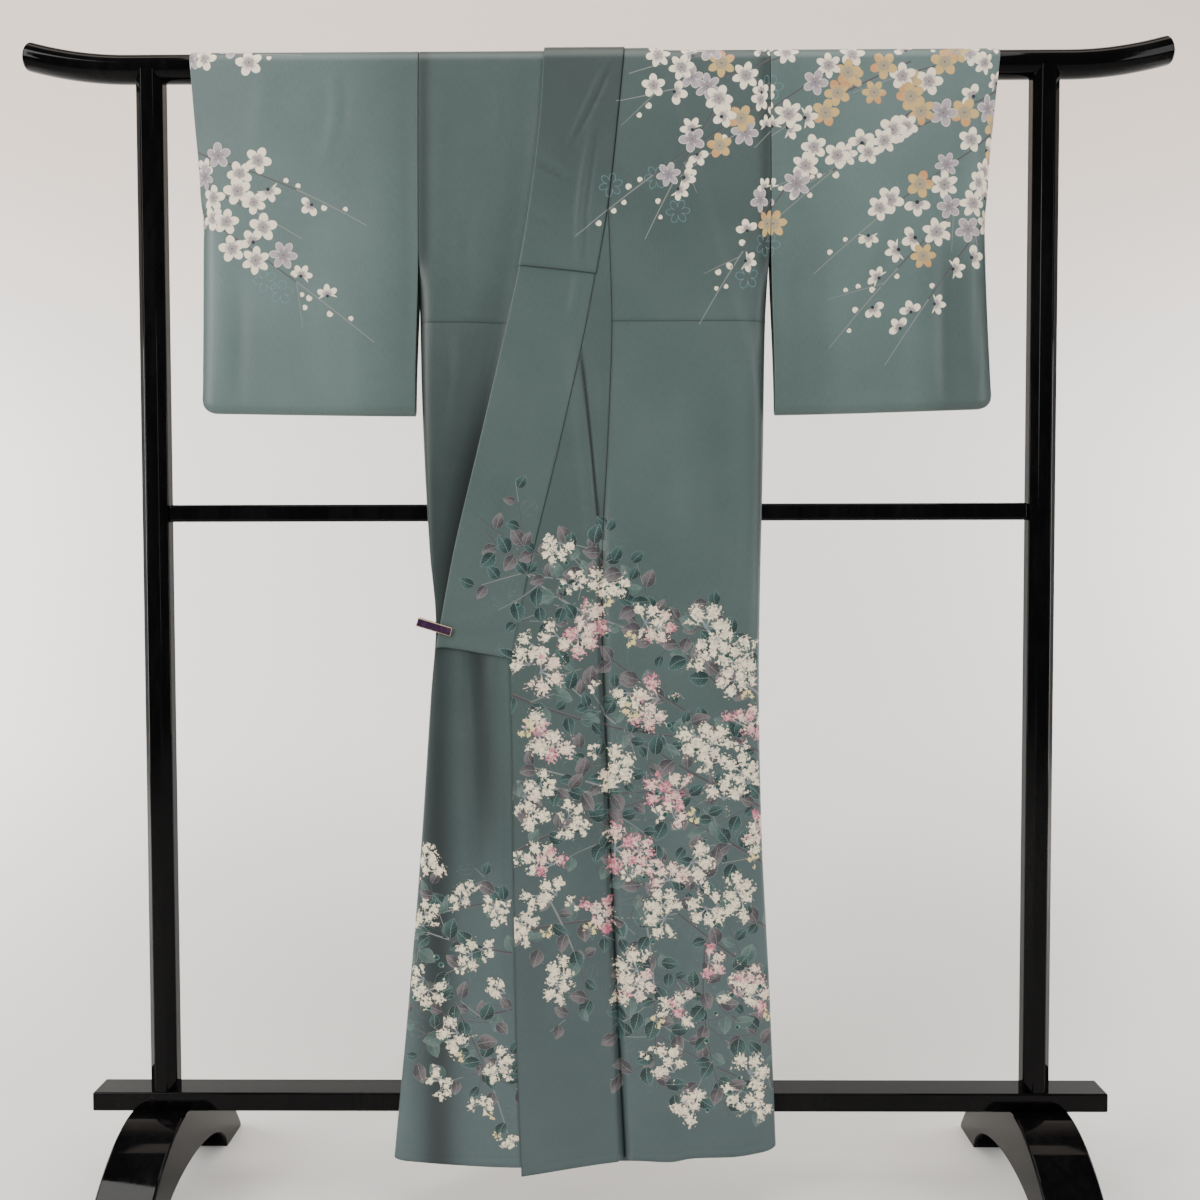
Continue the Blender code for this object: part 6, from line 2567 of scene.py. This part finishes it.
LAMPS = (
    Lamp("key", (-2.4, -2.0, 2.3), (0.0, 0.0, 0.9), (0.9, 2.2), 84.0, (1.0, 0.985, 0.965)),
    Lamp("fill", (2.6, -2.6, 1.7), (0.0, 0.0, 0.8), (0.9, 2.2), 40.0, (0.97, 0.985, 1.0)),
    Lamp("overhead", (0.0, -1.0, 3.4), (0.0, 0.1, 0.6), (2.6, 1.2), 46.0, (1.0, 0.975, 0.94)),
    Lamp("backdrop", (0.0, -0.1, 3.5), (0.0, 1.15, 1.1), (4.0, 0.6), 24.0, (1.0, 0.86, 0.74)),
    Lamp("wall left", (-2.5, 0.15, 0.95), (0.1, 1.15, 0.85), (0.5, 1.5), 46.0, (1.0, 0.985, 0.965)),
    Lamp("wall right", (2.5, 0.15, 0.95), (-0.1, 1.15, 0.85), (0.5, 1.5), 48.5, (1.0, 0.985, 0.965)),
)
WORLD_COLOUR, WORLD_STRENGTH = (0.94, 0.96, 1.0), 0.22


def light_scene() -> None:
    """Places the lamps and the soft light all round."""
    for lamp in LAMPS:
        lamp.build()
    world = bpy.data.worlds.new("studio")
    world.use_nodes = True
    background = world.node_tree.nodes["Background"]
    background.inputs["Color"].default_value = (*WORLD_COLOUR, 1.0)
    background.inputs["Strength"].default_value = WORLD_STRENGTH
    bpy.context.scene.world = world


@dataclass(frozen=True)
class Camera:
    """The camera, at standing height before the stand. Angles in degrees; lengths in pixels and metres."""

    place: Triple = (0.0143, -1.480, 0.900)
    down: float = 1.776
    left: float = -0.422
    roll: float = -0.127
    focal_pixels: float = 1050.0
    frame_pixels: float = 1200.0
    sensor: float = 36.0
    sees_to: float = 60.0

    def build(self) -> None:
        """Makes the camera and gives it to the scene."""
        pitch, yaw, roll = (math.radians(angle) for angle in (self.down, self.left, self.roll))
        ahead = Vector((math.sin(yaw) * math.cos(pitch), math.cos(yaw) * math.cos(pitch), -math.sin(pitch)))
        right = Vector((math.cos(yaw), -math.sin(yaw), 0.0))
        up = right.cross(ahead)
        across = right * math.cos(roll) + up * math.sin(roll)
        above = up * math.cos(roll) - right * math.sin(roll)
        data = bpy.data.cameras.new("camera")
        data.sensor_width = self.sensor
        data.lens = self.sensor * self.focal_pixels / self.frame_pixels
        data.clip_end = self.sees_to
        placed = bpy.data.objects.new("camera", data)
        turn = Matrix((across, above, -ahead)).transposed()
        placed.matrix_world = Matrix.Translation(self.place) @ turn.to_4x4()
        bpy.context.scene.collection.objects.link(placed)
        bpy.context.scene.camera = placed


def main() -> None:
    """Builds the stage, the stand, the clip and the kimono."""
    logging.basicConfig(level=logging.INFO, format="%(name)s: %(message)s")
    Camera().build()
    light_scene()
    uneven = unevenness_group()
    Stage().build(uneven)
    Stand(LACQUER.make(uneven)).build()
    Clip(GOLD_PLATE.make(uneven), PLUM_ENAMEL.make(uneven)).build()
    Kimono(Silk()).build()


if __name__ == "__main__":
    main()
